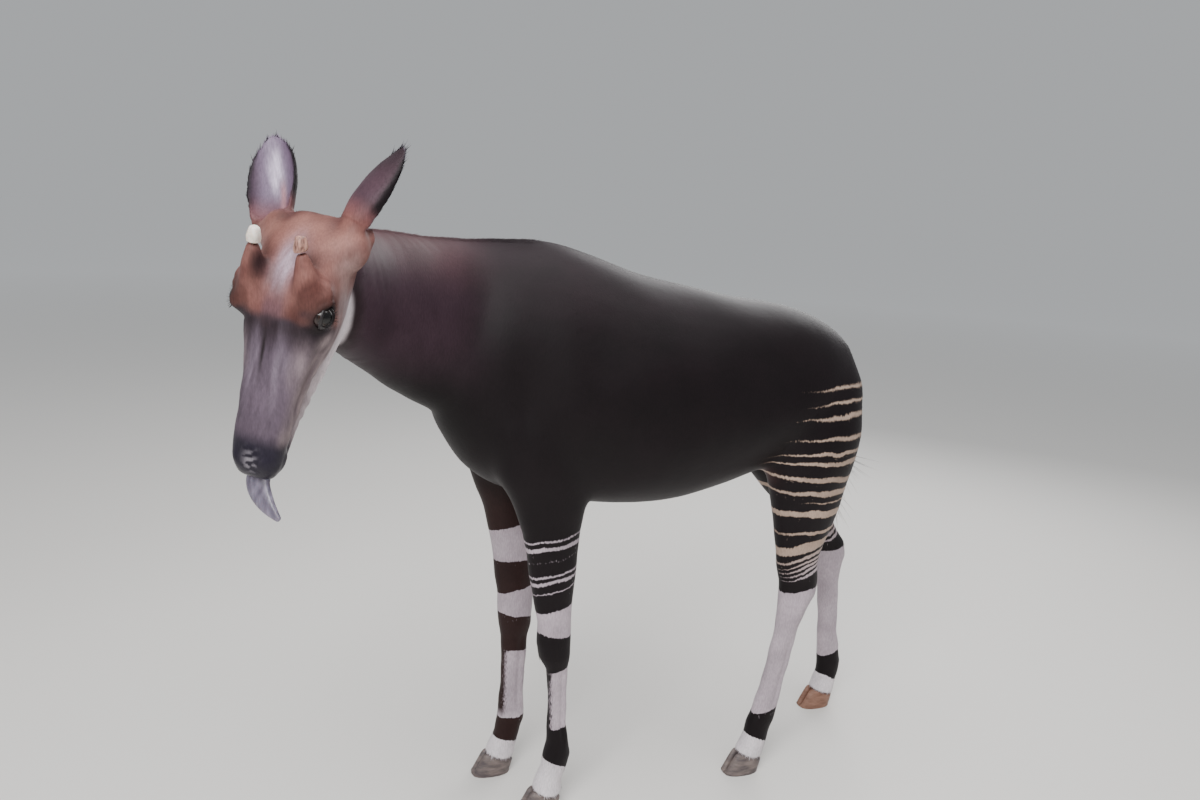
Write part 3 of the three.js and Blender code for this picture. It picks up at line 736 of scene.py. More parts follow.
def applied(item: bpy.types.Object) -> bpy.types.Mesh:
    """Applies an object's modifiers and removes the object.

    Args:
        item: the object.

    Returns:
        Its finished mesh.
    """
    bpy.context.view_layer.update()
    graph = bpy.context.evaluated_depsgraph_get()
    mesh = bpy.data.meshes.new_from_object(item.evaluated_get(graph))
    bpy.data.objects.remove(item)
    return mesh


Source = bpy.types.Node | bpy.types.NodeSocket


@dataclass(frozen=True)
class OkapiCoat:
    """Short velvety fur of an okapi, oily and close, which gives a dark coat with a soft mauve sheen.

    The hair's own width is too fine to show, so its grain is drawn wider than life, and a few times as long as
    wide. Band edges wander slowly and are broken by locks of hair. Levels are metres along a leg.
    """

    roughness: float = 0.52
    wet_roughness: float = 0.3
    sheen: float = 0.025
    sheen_tint: str = "#8a6d7c"
    specular: float = 0.17
    thigh_pale: str = "#a58f80"
    shin_pale: str = "#ab9ea6"
    pastern_pale: str = "#d6ced2"
    hair_scale: tuple[float, float, float] = (330.0, 330.0, 90.0)
    lock_scale: tuple[float, float, float] = (190.0, 190.0, 15.0)
    fold_mm: float = 26.0
    wander_m: float = 0.02
    jag_m: float = 0.008

    def build(self, name: str) -> bpy.types.Material:
        """Makes the material that skin and coat share.

        Args:
            name: the material's name.

        Returns:
            The material.
        """
        material = bpy.data.materials.new(name)
        material.use_nodes = True
        tree = material.node_tree
        surface = tree.nodes["Principled BSDF"]
        place = add(tree, "TexCoord").outputs["Object"]
        leg = add(tree, "Attribute", attribute_name="leg").outputs["Fac"]
        bands = add(tree, "Attribute", attribute_name="bands").outputs["Vector"]
        parts = add(tree, "SeparateXYZ", {0: bands}).outputs
        hairs = self._grain(tree, place, self.hair_scale)
        level = self._level(tree, place, parts[0])
        pale = self._bands(tree, level, leg, parts[1], hairs)
        share = add(tree, "Math", {0: pale, 1: parts[2]}, operation="MULTIPLY")
        base = add(tree, "Attribute", attribute_name="coat_colour").outputs["Color"]
        marked = add(tree, "Mix", {0: share, 6: base, 7: self._pale_tone(tree, level, leg)}, data_type="RGBA")
        patch = add(tree, "TexNoise", {"Vector": place}, {"Scale": 9.0, "Detail": 5.0})
        worn = add(tree, "MapRange", {0: patch}, {1: 0.3, 2: 0.7, 3: 0.8, 4: 1.16})
        grain = add(tree, "MapRange", {0: hairs}, {1: 0.3, 2: 0.7, 3: 0.86, 4: 1.14})
        shade = add(tree, "Math", {0: worn, 1: grain}, operation="MULTIPLY")
        colour = add(tree, "VectorMath", {0: marked.outputs[2], "Scale": shade}, operation="SCALE")
        tree.links.new(colour.outputs[0], surface.inputs["Base Color"])
        wet = add(tree, "Attribute", attribute_name="wet").outputs["Fac"]
        rough = add(tree, "MapRange", {0: wet}, {1: 0.0, 2: 1.0, 3: self.roughness, 4: self.wet_roughness})
        tree.links.new(rough.outputs[0], surface.inputs["Roughness"])
        surface.inputs["Sheen Weight"].default_value = self.sheen
        surface.inputs["Sheen Roughness"].default_value = 0.4
        surface.inputs["Sheen Tint"].default_value = linear(self.sheen_tint)
        surface.inputs["Specular IOR Level"].default_value = self.specular
        fold = add(tree, "TexNoise", {"Vector": place}, {"Scale": 1000 / self.fold_mm, "Detail": 4.0})
        low = add(tree, "Bump", {"Height": fold}, {"Strength": 0.25, "Distance": 0.002})
        high = add(tree, "Bump", {"Height": hairs, "Normal": low}, {"Strength": 0.35, "Distance": 0.0012})
        tree.links.new(high.outputs[0], surface.inputs["Normal"])
        return material

    def _grain(self, tree: bpy.types.NodeTree, place: Source, scale: tuple[float, ...]) -> bpy.types.Node:
        """Noise drawn out along the legs' hair, with a scale per metre on each axis."""
        drawn = add(tree, "Mapping", {"Vector": place}, {"Scale": scale})
        return add(tree, "TexNoise", {"Vector": drawn}, {"Scale": 1.0, "Detail": 2.0})

    def _level(self, tree: bpy.types.NodeTree, place: Source, even: Source) -> bpy.types.Node:
        """Adds the wander and the jags of the bands' edges to the level along the leg.

        Args:
            tree: the material's node tree.
            place: object coordinates.
            even: the level in metres.

        Returns:
            The node that gives the uneven level.
        """
        level = even
        slow = add(tree, "TexNoise", {"Vector": place}, {"Scale": 16.0, "Detail": 2.0})
        for noise, reach in ((slow, self.wander_m), (self._grain(tree, place, self.lock_scale), self.jag_m)):
            centred = add(tree, "Math", {0: noise}, {1: -0.5}, operation="ADD")
            level = add(tree, "Math", {0: centred, 2: level}, {1: reach}, operation="MULTIPLY_ADD")
        return level

    def _pale_tone(self, tree: bpy.types.NodeTree, level: Source, leg: Source) -> bpy.types.Node:
        """Gives pale hair its colour: white pastern, lilac white shin, and cream on the thigh alone.

        Args:
            tree: the material's node tree.
            level: metres along the leg.
            leg: which leg's bands.

        Returns:
            The node that gives the colour.
        """
        hind = add(tree, "Math", {0: leg}, {1: 0.75}, operation="GREATER_THAN")
        capped = add(tree, "Math", {0: level}, {1: 0.5}, operation="MINIMUM")
        tone_at = add(tree, "Mix", {0: hind, 2: capped, 3: level})
        tone = add(tree, "ValToRGB", {0: tone_at})
        pastern, shin, thigh = (linear(c) for c in (self.pastern_pale, self.shin_pale, self.thigh_pale))
        set_ramp(tone, [(0.0, pastern), (0.13, pastern), (0.2, shin), (0.6, shin), (0.72, thigh)])
        return tone

    def _bands(self, tree: bpy.types.NodeTree, level: Source, leg: Source, back: Source,
               hairs: Source) -> bpy.types.Node:
        """Gives the share of pale hair of the legs' bands, with hairy edges and tapering fronts.

        Args:
            tree: the material's node tree.
            level: metres along the leg.
            leg: which leg's bands: 0 and 0.5 on the fore legs, 1 on the hind ones.
            back: 0 at the leg's front and 1 at its back.
            hairs: the hair's grain.

        Returns:
            The node that gives the share.
        """
        values = []
        for ramp in (FORE_LEFT_BANDS, FORE_RIGHT_BANDS, HIND_LOW_BANDS, HIND_HIGH_BANDS):
            scaled = add(tree, "MapRange", {0: level}, {1: ramp.low * MM, 2: ramp.high * MM})
            node = add(tree, "ValToRGB", {0: scaled})
            set_ramp(node, ramp.stops())
            values.append(node)
        fore_right = add(tree, "Math", {0: leg}, {1: 0.25}, operation="GREATER_THAN")
        hind = add(tree, "Math", {0: leg}, {1: 0.75}, operation="GREATER_THAN")
        fore = add(tree, "Mix", {0: fore_right, 2: values[0], 3: values[1]})
        high = add(tree, "Math", {0: values[2], 1: values[3]}, operation="MAXIMUM")
        value = add(tree, "Mix", {0: hind, 2: fore, 3: high})
        fringe = add(tree, "MapRange", {0: hairs}, {1: 0.3, 2: 0.7, 3: -0.12, 4: 0.12})
        ragged = add(tree, "Math", {0: value, 1: fringe}, operation="ADD")
        taper = add(tree, "MapRange", {0: back}, {1: -0.04, 2: 0.55, 3: 0.76, 4: 0.28})
        on_thigh = add(tree, "Math", {0: level}, {1: 0.6}, operation="GREATER_THAN")
        tapered = add(tree, "Math", {0: hind, 1: on_thigh}, operation="MULTIPLY")
        limit = add(tree, "Mix", {0: tapered, 3: taper}, {2: 0.42})
        over = add(tree, "Math", {0: ragged, 1: limit}, operation="SUBTRACT")
        pale = add(tree, "MapRange", {0: over}, {1: -0.12, 2: 0.16}, interpolation_type="SMOOTHSTEP")
        kept = add(tree, "Math", {1: self._front_strip(tree, level, back, hairs, hind)}, {0: 1.0},
                   operation="SUBTRACT")
        return add(tree, "Math", {0: pale, 1: kept}, operation="MULTIPLY")

    def _front_strip(self, tree: bpy.types.NodeTree, level: Source, back: Source, hairs: Source,
                     hind: Source) -> bpy.types.Node:
        """Gives the dark strip down the front of the fore cannons.

        Args:
            tree: the material's node tree.
            level: metres along the leg.
            back: 0 at the leg's front and 1 at its back.
            hairs: the hair's grain.
            hind: 1 on the hind legs.

        Returns:
            The node that gives the strip's share.
        """
        strip = add(tree, "Math", {1: hind}, {0: 1.0}, operation="SUBTRACT")
        edge = add(tree, "Math", {0: hairs, 2: back}, {1: 0.3}, operation="MULTIPLY_ADD")
        for source, dark_from, dark_at in ((level, 0.175, 0.21), (level, 0.48, 0.42), (edge, 0.36, 0.24)):
            part = add(tree, "MapRange", {0: source}, {1: dark_from, 2: dark_at})
            strip = add(tree, "Math", {0: strip, 1: part}, operation="MULTIPLY")
        return strip


@dataclass(frozen=True)
class SoftMass:
    """A soft swelling of the head: place and half sizes along the nose, out of the forehead and sideways."""

    at: tuple[float, float, float]
    size: tuple[float, float, float]


@dataclass(frozen=True)
class Swelling:
    """A soft rise of the skin in millimetres, or a hollow where it is negative."""

    at: tuple[float, float, float]
    reach: tuple[float, float, float]
    rise: float


TRUNK_SWELLINGS = (
    Swelling((-590, 215, 1240), (75, 90, 100), -9), Swelling((-640, 190, 1370), (60, 70, 50), 8),
    Swelling((150, 190, 1130), (34, 80, 150), -6),
)
SHOULDER = Swelling((40, 190, 1260), (60, 120, 170), 7)
FACE_SWELLINGS = (
    Swelling((196, -70, 74), (52, 34, 30), 5.5), Swelling((262, -58, 52), (44, 13, 30), -4.0),
    Swelling((330, -60, 45), (46, 9, 30), -2.6), Swelling((374, -74, 44), (30, 13, 26), 3.0),
    Swelling((112, 10, 10), (70, 40, 14), -2.4), Swelling((300, -6, 20), (70, 30, 9), 2.2),
    Swelling((470, -40, 33), (14, 16, 10), 3.2),
)
SOFT_MASSES = (
    SoftMass((152, -12, 84), (34, 14, 24)), SoftMass((152, -12, -84), (34, 14, 24)),
    SoftMass((187, -2, -80), (26, 10, 18)),
    SoftMass((172, -112, 50), (62, 42, 16)), SoftMass((172, -112, -50), (62, 42, 16)),
    SoftMass((30, -90, 96), (24, 9, 20)), SoftMass((36, -86, -104), (24, 9, 20)),
    SoftMass((462, -80, 30), (30, 13, 19)), SoftMass((462, -80, -30), (30, 13, 19)),
)


@dataclass
class Skin:
    """The one skin over trunk, neck, head, ears, horn shafts, legs and tail."""

    voxel_mm: float = 3.4
    seam_mm: float = 0.4
    coat_depth_mm: float = 1.5
    even_rounds: int = 240
    most_faces: int = 192000
    ear_sink: float = 0.2
    nodes: tuple[str, ...] = (
        "torso", "neck", "head", "ear_left", "ear_right", "ossicone_left", "ossicone_right", "leg_fore_left",
        "leg_fore_right", "leg_hind_left", "leg_hind_right", "tail")

    def build(self, material: bpy.types.Material) -> bpy.types.Object:
        """Fuses the flesh solids, models the folds and writes the coat's fields.

        Args:
            material: the coat's finish.

        Returns:
            The skin.
        """
        mesh = self._fused()
        places, normals = mesh_arrays(mesh)
        fields = CoatFields(to_animal(places), normals)
        relax(mesh, np.full(len(places), 0.4), 3)
        relax(mesh, 0.5 * self._evenness(fields), self.even_rounds)
        places, normals = mesh_arrays(mesh)
        fields = CoatFields(to_animal(places), normals)
        places = places + normals * (self._relief(fields) * MM)[:, None]
        mesh.vertices.foreach_set("co", places.ravel())
        mesh = self._thinned(mesh, fields)
        places, normals = mesh_arrays(mesh)
        write_fields(mesh, CoatFields(to_animal(places), normals))
        item = new_object("skin", mesh, material)
        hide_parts(*self.nodes)
        return item

    def _evenness(self, fields: CoatFields) -> np.ndarray:
        """Says how much each part may be evened: large forms and hard creases most, thin parts least.

        Args:
            fields: the fields at the mesh's points.

        Returns:
            0 to 1 for each point.
        """
        x, y, z = fields.points.T
        body = 1 - fields.on_head
        chest = ease(x, 180, 260) * ease(x, 500, 420) * ease(z, 1000, 1060) * body
        trunk = ease(z, 800, 930) * ease(x, 420, 330) * body
        neck = ease(x, 300, 380) * body
        legs = ease(z, 420, 860) * body
        throat = np.clip(4 * fields.on_head * (1 - fields.on_head), 0, 1)
        along, height, side = fields.head.T
        away = np.hypot(along - EYE_AT[0], (height - EYE_AT[1]) * 1.2)
        face = fields.on_head * (0.05 + 0.1 * ease(along, 226, 170) * ease(away, 24, 44) * ease(along, 20, 60))
        amount = 0.012 + 0.1 * legs + 0.2 * throat + face
        amount = np.maximum(amount, np.maximum(0.75 * trunk, np.maximum(0.4 * neck, chest)))
        thin = np.clip(sum(fields.on_ear.values()) + fields.on_tail(), 0, 1)
        return np.clip(amount, 0, 1) * (1 - 0.97 * thin)

    def _fused(self) -> bpy.types.Mesh:
        """One closed mesh of all the flesh, its thin seams closed."""
        joined = bmesh.new()
        for node in self.nodes:
            part = node_bmesh(node, self.seam_mm * MM)
            copy = bpy.data.meshes.new("flesh_part")
            part.to_mesh(copy)
            part.free()
            joined.from_mesh(copy)
            bpy.data.meshes.remove(copy)
        axes = Matrix([list(row) for row in HEAD.axes()]).transposed().to_4x4()
        for mass in SOFT_MASSES:
            place = Matrix.Translation(Vector(to_frame(HEAD.place(mass.at))))
            size = Matrix.Diagonal([half * MM for half in mass.size] + [1])
            bmesh.ops.create_uvsphere(joined, u_segments=32, v_segments=20, radius=1,
                                      matrix=place @ axes @ size)
        mesh = bpy.data.meshes.new("flesh")
        joined.to_mesh(mesh)
        joined.free()
        item = bpy.data.objects.new("flesh", mesh)
        bpy.context.scene.collection.objects.link(item)
        remesh = item.modifiers.new("fuse", "REMESH")
        remesh.mode = "VOXEL"
        remesh.voxel_size = self.voxel_mm * MM
        fused = applied(item)
        LOG.info("fused flesh: %d faces", len(fused.polygons))
        return fused

    def _relief(self, fields: CoatFields) -> np.ndarray:
        """Adds up folds, tendons and muscles, and sinks the skin by the coat's depth.

        Args:
            fields: the fields at the mesh's points.

        Returns:
            Millimetres by which each point rises or sinks.
        """
        body = 1 - fields.on_head
        for side in EARS:
            body = body * (1 - fields.on_ear[side])
        lift = np.full(len(body), -self.coat_depth_mm)
        lift *= np.where(sum(fields.on_ear.values()) > 0.5, self.ear_sink, 1)
        lift += self._body_relief(fields, body) + self._face_relief(fields)
        for plan in LEGS.values():
            lift += self._leg_relief(fields, plan)
        return lift

    def _body_relief(self, fields: CoatFields, body: np.ndarray) -> np.ndarray:
        """Rises of neck and trunk: wrinkles, shoulders, ribs, loins and hips.

        Args:
            fields: the fields at the mesh's points.
            body: 1 away from head and ears.

        Returns:
            Millimetres for each point.
        """
        x, y, z = fields.points.T
        neck = ease(x, 260, 400) * body * ease(z, 1180, 1260)
        wrinkle = np.sin((x * 0.8 + y * 0.5 - 0.12 * z) / 5.2 + 2.6 * ripple(fields.points, 70, 5))
        lift = neck * 0.55 * wrinkle * ease(ripple(fields.points, 110, 6), -0.3, 0.8)
        lift += neck * 2.0 * ripple(fields.points, 90, 7)
        trunk = body * ease(x, 330, 240) * ease(z, 830, 900)
        lift += trunk * 2.6 * ripple(fields.points, 130, 8)
        for side in Side:
            at = fields.points * np.array([1, side.value, 1])
            lift += trunk * SHOULDER.rise * blob(at, SHOULDER.at, SHOULDER.reach) * ease(at[:, 1], 60, 120)
            for swelling in TRUNK_SWELLINGS:
                lift += trunk * swelling.rise * blob(at, swelling.at, swelling.reach)
        ribs = trunk * blob(fields.points, (-260, 0, 1120), (260, 2000, 150))
        return lift + ribs * 0.5 * np.sin(x / 13 + ripple(fields.points, 150, 9))

    def _face_relief(self, fields: CoatFields) -> np.ndarray:
        """Rises of the face: cheeks, bridge, nostrils, small folds and the lids' rings.

        Args:
            fields: the fields at the mesh's points.

        Returns:
            Millimetres for each point.
        """
        along, height, side = fields.head.T
        wide = np.abs(side)
        folded = np.c_[along, height, wide]
        lift = sum(s.rise * blob(folded, s.at, s.reach) for s in FACE_SWELLINGS)
        cheek = ease(height, -60, -100) * ease(along, 250, 300) * ease(along, 420, 380)
        lift += cheek * np.sin((along + 0.7 * height) / 5 + 2 * ripple(fields.head, 40, 11))
        lift += 0.8 * ripple(fields.head, 26, 12)
        ahead, above = along - EYE_AT[0], height - EYE_AT[1]
        lid = ease(np.hypot(ahead / 1.25, above + 4), 40, 26) * (wide > 50)
        lift += lid * 1.4 * np.sin(np.hypot(ahead / 1.3, above) / 2.6)
        return lift * fields.on_head

    def _leg_relief(self, fields: CoatFields, plan: LegPlan) -> np.ndarray:
        """Tendon and groove at the back of a cannon, and small rises over the whole leg.

        Args:
            fields: the fields at the mesh's points.
            plan: the leg.

        Returns:
            Millimetres for each point, 0 away from this leg.
        """
        _, y, z = fields.points.T
        table = np.array(plan.rows[::-1])
        middle_y = np.interp(z, table[:, 0], table[:, 3])
        back = plan.backness(fields.points)
        near = (np.abs(y - middle_y) < 70) & (back > -0.4) & (back < 1.4) & (z < 820)
        cannon = ease(z, 440, 400) * ease(z, 190, 230)
        tendon = 2.2 * np.exp(-((back - 0.86) / 0.1) ** 2) - 3.2 * np.exp(-((back - 0.66) / 0.1) ** 2)
        return near * (cannon * tendon + 1.2 * ripple(fields.points, 48, 14) * ease(z, 830, 700))

    def _thinned(self, mesh: bpy.types.Mesh, fields: CoatFields) -> bpy.types.Mesh:
        """Takes faces from the trunk first and leaves the head fine.

        Args:
            mesh: the fine mesh.
            fields: the fields at its points.

        Returns:
            The mesh with fewer faces.
        """
        item = bpy.data.objects.new("flesh", mesh)
        bpy.context.scene.collection.objects.link(item)
        group = item.vertex_groups.new(name="coarse")
        coarse = 1 - 0.93 * fields.on_head
        for side in EARS:
            coarse *= 1 - 0.8 * fields.on_ear[side]
        steps = np.round(coarse * 10).astype(int)
        for step in range(11):
            chosen = np.nonzero(steps == step)[0]
            if len(chosen):
                group.add(chosen.tolist(), max(step / 10, 0.02), "REPLACE")
        triangles = len(mesh.polygons) * 2
        thin = item.modifiers.new("thin", "DECIMATE")
        thin.ratio = min(1.0, self.most_faces / triangles)
        thin.vertex_group = group.name
        thin.vertex_group_factor = 1.0
        thin.use_collapse_triangulate = True
        result = applied(item)
        LOG.info("skin: %d faces", len(result.polygons))
        return result


@dataclass(frozen=True)
class TuftKind:
    """One sort of tuft: its name, count, length, width, lift from the skin and where it grows."""

    name: str
    count: int
    length_mm: float
    width_mm: float
    lift: float
    where: Callable[[CoatFields], np.ndarray]
    joints: int = 0
    own_shade: float = 0.25


@dataclass
class Coat:
    """Tufts of hair over the skin, each a thin closed spike that carries its root's markings."""

    skin: bpy.types.Object
    sunk_mm: float = 1.2
    patch: float = 0.003

    def __post_init__(self) -> None:
        """Reads the skin's triangles and the fields at their middles."""
        mesh = self.skin.data
        self.places, self.normals = mesh_arrays(mesh)
        mesh.calc_loop_triangles()
        corners = np.empty(len(mesh.loop_triangles) * 3, np.int32)
        mesh.loop_triangles.foreach_get("vertices", corners)
        self.corners = corners.reshape(-1, 3)
        sides = self.places[self.corners]
        self.areas = np.linalg.norm(np.cross(sides[:, 1] - sides[:, 0], sides[:, 2] - sides[:, 0]), axis=1) / 2
        self.middles = CoatFields(to_animal(sides.mean(1)), self.normals[self.corners].mean(1))

    def spike(self, joints: int) -> tuple[np.ndarray, np.ndarray]:
        """One tuft: places (across, out, along) and triangles, from a bmesh cone of three sides.

        Args:
            joints: bends along the tuft.

        Returns:
            Points and faces.
        """
        work = bmesh.new()
        bmesh.ops.create_cone(work, cap_ends=False, segments=3, radius1=1.0, radius2=0.0, depth=1.0)
        bmesh.ops.remove_doubles(work, verts=work.verts, dist=1e-5)
        if joints:
            sides = [e for e in work.edges if abs(e.verts[0].co.z - e.verts[1].co.z) > 0.5]
            bmesh.ops.subdivide_edges(work, edges=sides, cuts=joints)
            bmesh.ops.triangulate(work, faces=work.faces)
        points = np.array([tuple(v.co) for v in work.verts])
        points[:, 2] += 0.5
        middle = (points[:, 2] > 0.1) & (points[:, 2] < 0.9)
        points[middle, :2] *= 1.35
        faces = np.array([[v.index for v in f.verts] for f in work.faces])
        work.free()
        return points, faces

    def grow(self, kind: TuftKind, material: bpy.types.Material, slot: str, seed: int) -> bpy.types.Object:
        """Grows one sort of tuft over the skin.

        Args:
            kind: the sort of tuft.
            material: the coat's finish.
            slot: not used.
            seed: choice of roots.

        Returns:
            The coat piece.
        """
        maker = np.random.default_rng(seed)
        weight = self.areas * kind.where(self.middles)
        count = kind.count
        chosen = maker.choice(len(weight), count, p=weight / weight.sum())
        shares = maker.dirichlet((1, 1, 1), count)
        corner = self.corners[chosen]
        root = (self.places[corner] * shares[:, :, None]).sum(1)
        normal = (self.normals[corner] * shares[:, :, None]).sum(1)
        normal /= np.linalg.norm(normal, axis=1)[:, None]
        fields = CoatFields(to_animal(root), normal)
        way = fields.lie()
        way += maker.normal(scale=0.13, size=way.shape)
        way -= normal * (way * normal).sum(1)[:, None]
        along = way + normal * (kind.lift * maker.uniform(0.5, 1.5, count))[:, None]
        along /= np.linalg.norm(along, axis=1)[:, None]
        across = np.cross(normal, along)
        across /= np.linalg.norm(across, axis=1)[:, None]
        out = np.cross(along, across)
        points, faces = self.spike(kind.joints)
        length = kind.length_mm * MM * maker.uniform(0.65, 1.25, count)
        width = kind.width_mm * MM * maker.uniform(0.7, 1.3, count) / 2
        sideways = across[:, None] * (points[:, 0] * width[:, None])[:, :, None]
        thick = points[:, 1] * width[:, None] * 0.4
        sag = points[:, 2] ** 2 * length[:, None] * kind.lift * 0.5
        rows = (root[:, None] - normal[:, None] * self.sunk_mm * MM + sideways
                + out[:, None] * (thick - sag)[:, :, None]
                + along[:, None] * (points[:, 2] * length[:, None])[:, :, None])
        mesh = bpy.data.meshes.new(kind.name)
        corners = (faces[None] + (np.arange(count) * len(points))[:, None, None]).reshape(-1, 3)
        mesh.from_pydata(rows.reshape(-1, 3).tolist(), [], corners.tolist())
        self._unwrap(mesh, fields, corners, points)
        write_fields(mesh, fields, len(points), maker.uniform(0.82, 1.22, count))
        item = new_object(kind.name, mesh, material)
        _, own = mesh_arrays(mesh)
        shade = np.repeat(normal, len(points), axis=0) + own * kind.own_shade
        shade /= np.linalg.norm(shade, axis=1)[:, None]
        mesh.normals_split_custom_set_from_vertices(shade.tolist())
        return item

    def _unwrap(self, mesh: bpy.types.Mesh, fields: CoatFields, corners: np.ndarray,
                points: np.ndarray) -> None:
        """Gives each tuft a small patch at its root's place on the skin's own unwrap.

        Args:
            mesh: the tufts' mesh.
            fields: the fields at their roots.
            corners: vertex numbers of its triangles.
            points: one tuft's points.
        """
        layer = mesh.uv_layers.new(name="OFBake")
        spot = skin_unwrap(fields)
        local = np.c_[points[:, 0], points[:, 2] * 2 - 1] * self.patch / 2
        every = (spot[:, None] + local[None]).reshape(-1, 2)
        layer.data.foreach_set("uv", every[corners.ravel()].astype(np.float32).ravel())


def skin_unwrap(fields: CoatFields) -> np.ndarray:
    """Places of points on an unwrap of the skin: trunk, head, ears and each leg rolled out side by side.

    Args:
        fields: the coat's fields at the points.

    Returns:
        n by 2 array between 0 and 1.
    """
    x, y, z = fields.points.T
    turn = np.arctan2(z - 1180, y) / (2 * math.pi) + 0.5
    spot = np.c_[0.02 + 0.6 * np.clip((x + 960) / 1700, 0, 1), 0.42 + 0.54 * turn]
    which = fields.leg_of()
    for index, plan in enumerate(LEGS.values()):
        here = (which == index) & (z < 880)
        table = np.array(plan.rows[::-1])
        middle_x, middle_y = (np.interp(z, table[:, 0], table[:, column]) for column in (1, 3))
        ring = np.arctan2(y - middle_y, x - middle_x) / (2 * math.pi) + 0.5
        spot[here] = np.c_[0.02 + 0.15 * index + 0.13 * ring, 0.02 + 0.36 * z / 880][here]
    along, height, side = fields.head.T
    ring = np.arctan2(side, height + 70) / (2 * math.pi) + 0.5
    face = fields.on_head > 0.5
    spot[face] = np.c_[0.66 + 0.3 * ring, 0.42 + 0.54 * np.clip((along + 40) / 560, 0, 1)][face]
    for index, side_name in enumerate(EARS):
        share, across, _, opening = fields.ears[side_name]
        here = fields.on_ear[side_name] > 0.5
        left_edge = 0.66 + 0.16 * index + (fields.normals @ opening > 0) * 0.07
        spot[here] = np.c_[left_edge + 0.06 * (across / 120 + 0.5), 0.02 + 0.34 * share][here]
    return spot


def everywhere(fields: CoatFields) -> np.ndarray:
    """Body coat: everywhere but the head and the wet bare skin."""
    return (1 - fields.on_head) * (1 - fields.gloss())


def on_face(fields: CoatFields) -> np.ndarray:
    """Face coat, without muzzle and ears."""
    along = fields.head[:, 0]
    ears = sum(fields.on_ear.values())
    return fields.on_head * ease(along, 430, 380) * (1 - np.clip(ears, 0, 1))


def ear_edges(fields: CoatFields) -> np.ndarray:
    """Fringe on the ears: rims and the pale inside.

    Args:
        fields: the fields at the skin's points.

    Returns:
        Share of the fringe at each point.
    """
    total = np.zeros(len(fields.points))
    for side, plan in EARS.items():
        share, across, _, opening = fields.ears[side]
        rim = ease(np.abs(across), plan.half * 0.5, plan.half * 0.9)
        total += fields.on_ear[side] * (0.25 + rim + 0.8 * (fields.normals @ opening > 0.2))
    return total


def crest(fields: CoatFields) -> np.ndarray:
    """Short standing mane along the top of the neck."""
    x, y, z = fields.points.T
    return (1 - fields.on_head) * ease(x, 60, 200) * ease(fields.normals[:, 2], 0.93, 0.985)


def lower_legs(fields: CoatFields) -> np.ndarray:
    """Backs of the legs, fetlocks and coronets."""
    marks, _ = fields.marks()
    z = fields.points[:, 2]
    return ease(z, 900, 700) * (0.3 + ease(marks[:, 1], 0.6, 1.0) + 1.5 * ease(z, 220, 120))


def tail_end(fields: CoatFields) -> np.ndarray:
    """The tail's tuft."""
    return fields.on_tail() * ease(fields.points[:, 2], 1060, 990)


def build_coat(skin: bpy.types.Object, material: bpy.types.Material) -> None:
    """Grows every sort of tuft on the finished skin.

    Args:
        skin: the finished skin.
        material: the coat's finish.
    """
    coat = Coat(skin)
    kinds = (
        (TuftKind("coat_body", 62000, 18, 2.6, 0.07, everywhere), "coat_dark"),
        (TuftKind("coat_face", 46000, 8, 1.3, 0.09, on_face), "coat_head"),
        (TuftKind("coat_ears", 26000, 10, 1.0, 0.22, ear_edges), "coat_ear"),
        (TuftKind("coat_crest", 14000, 15, 1.8, 0.30, crest), "coat_dark"),
        (TuftKind("coat_legs", 50000, 10, 1.6, 0.09, lower_legs), "coat_leg"),
        (TuftKind("coat_tail", 3200, 130, 3.0, 0.05, tail_end, 2, 0.8), "tail_hair"),
    )
    for index, (kind, slot) in enumerate(kinds):
        coat.grow(kind, material, slot, SEED + index)


@dataclass(frozen=True)
class WetEye:
    """Large dark brown eye under a clear wet cornea, which gives one soft highlight."""

    iris: str = "#1a0f0c"
    iris_rim: str = "#2a1710"
    white: str = "#2b1c1a"
    dark_ring: str = "#0d0706"
    pupil: str = "#050304"
    pupil_middle: str = "#040304"

    def build(self) -> bpy.types.Material:
        """Makes the eye's material: a dark wide pupil in a dark brown iris."""
        material = bpy.data.materials.new("eye_wet_cornea")
        material.use_nodes = True
        tree = material.node_tree
        surface = tree.nodes["Principled BSDF"]
        iris = add(tree, "Attribute", attribute_name="pupil").outputs["Fac"]
        ramp = add(tree, "ValToRGB", {0: iris})
        tones = (self.white, self.dark_ring, self.iris_rim, self.iris, self.pupil, self.pupil_middle)
        set_ramp(ramp, [(at, linear(tone)) for at, tone in zip((0.0, 0.3, 0.4, 0.7, 0.8, 1.0), tones)])
        tree.links.new(ramp.outputs[0], surface.inputs["Base Color"])
        surface.inputs["Roughness"].default_value = 0.2
        surface.inputs["Specular IOR Level"].default_value = 0.3
        surface.inputs["Coat Weight"].default_value = 0.3
        surface.inputs["Coat Roughness"].default_value = 0.05
        return material


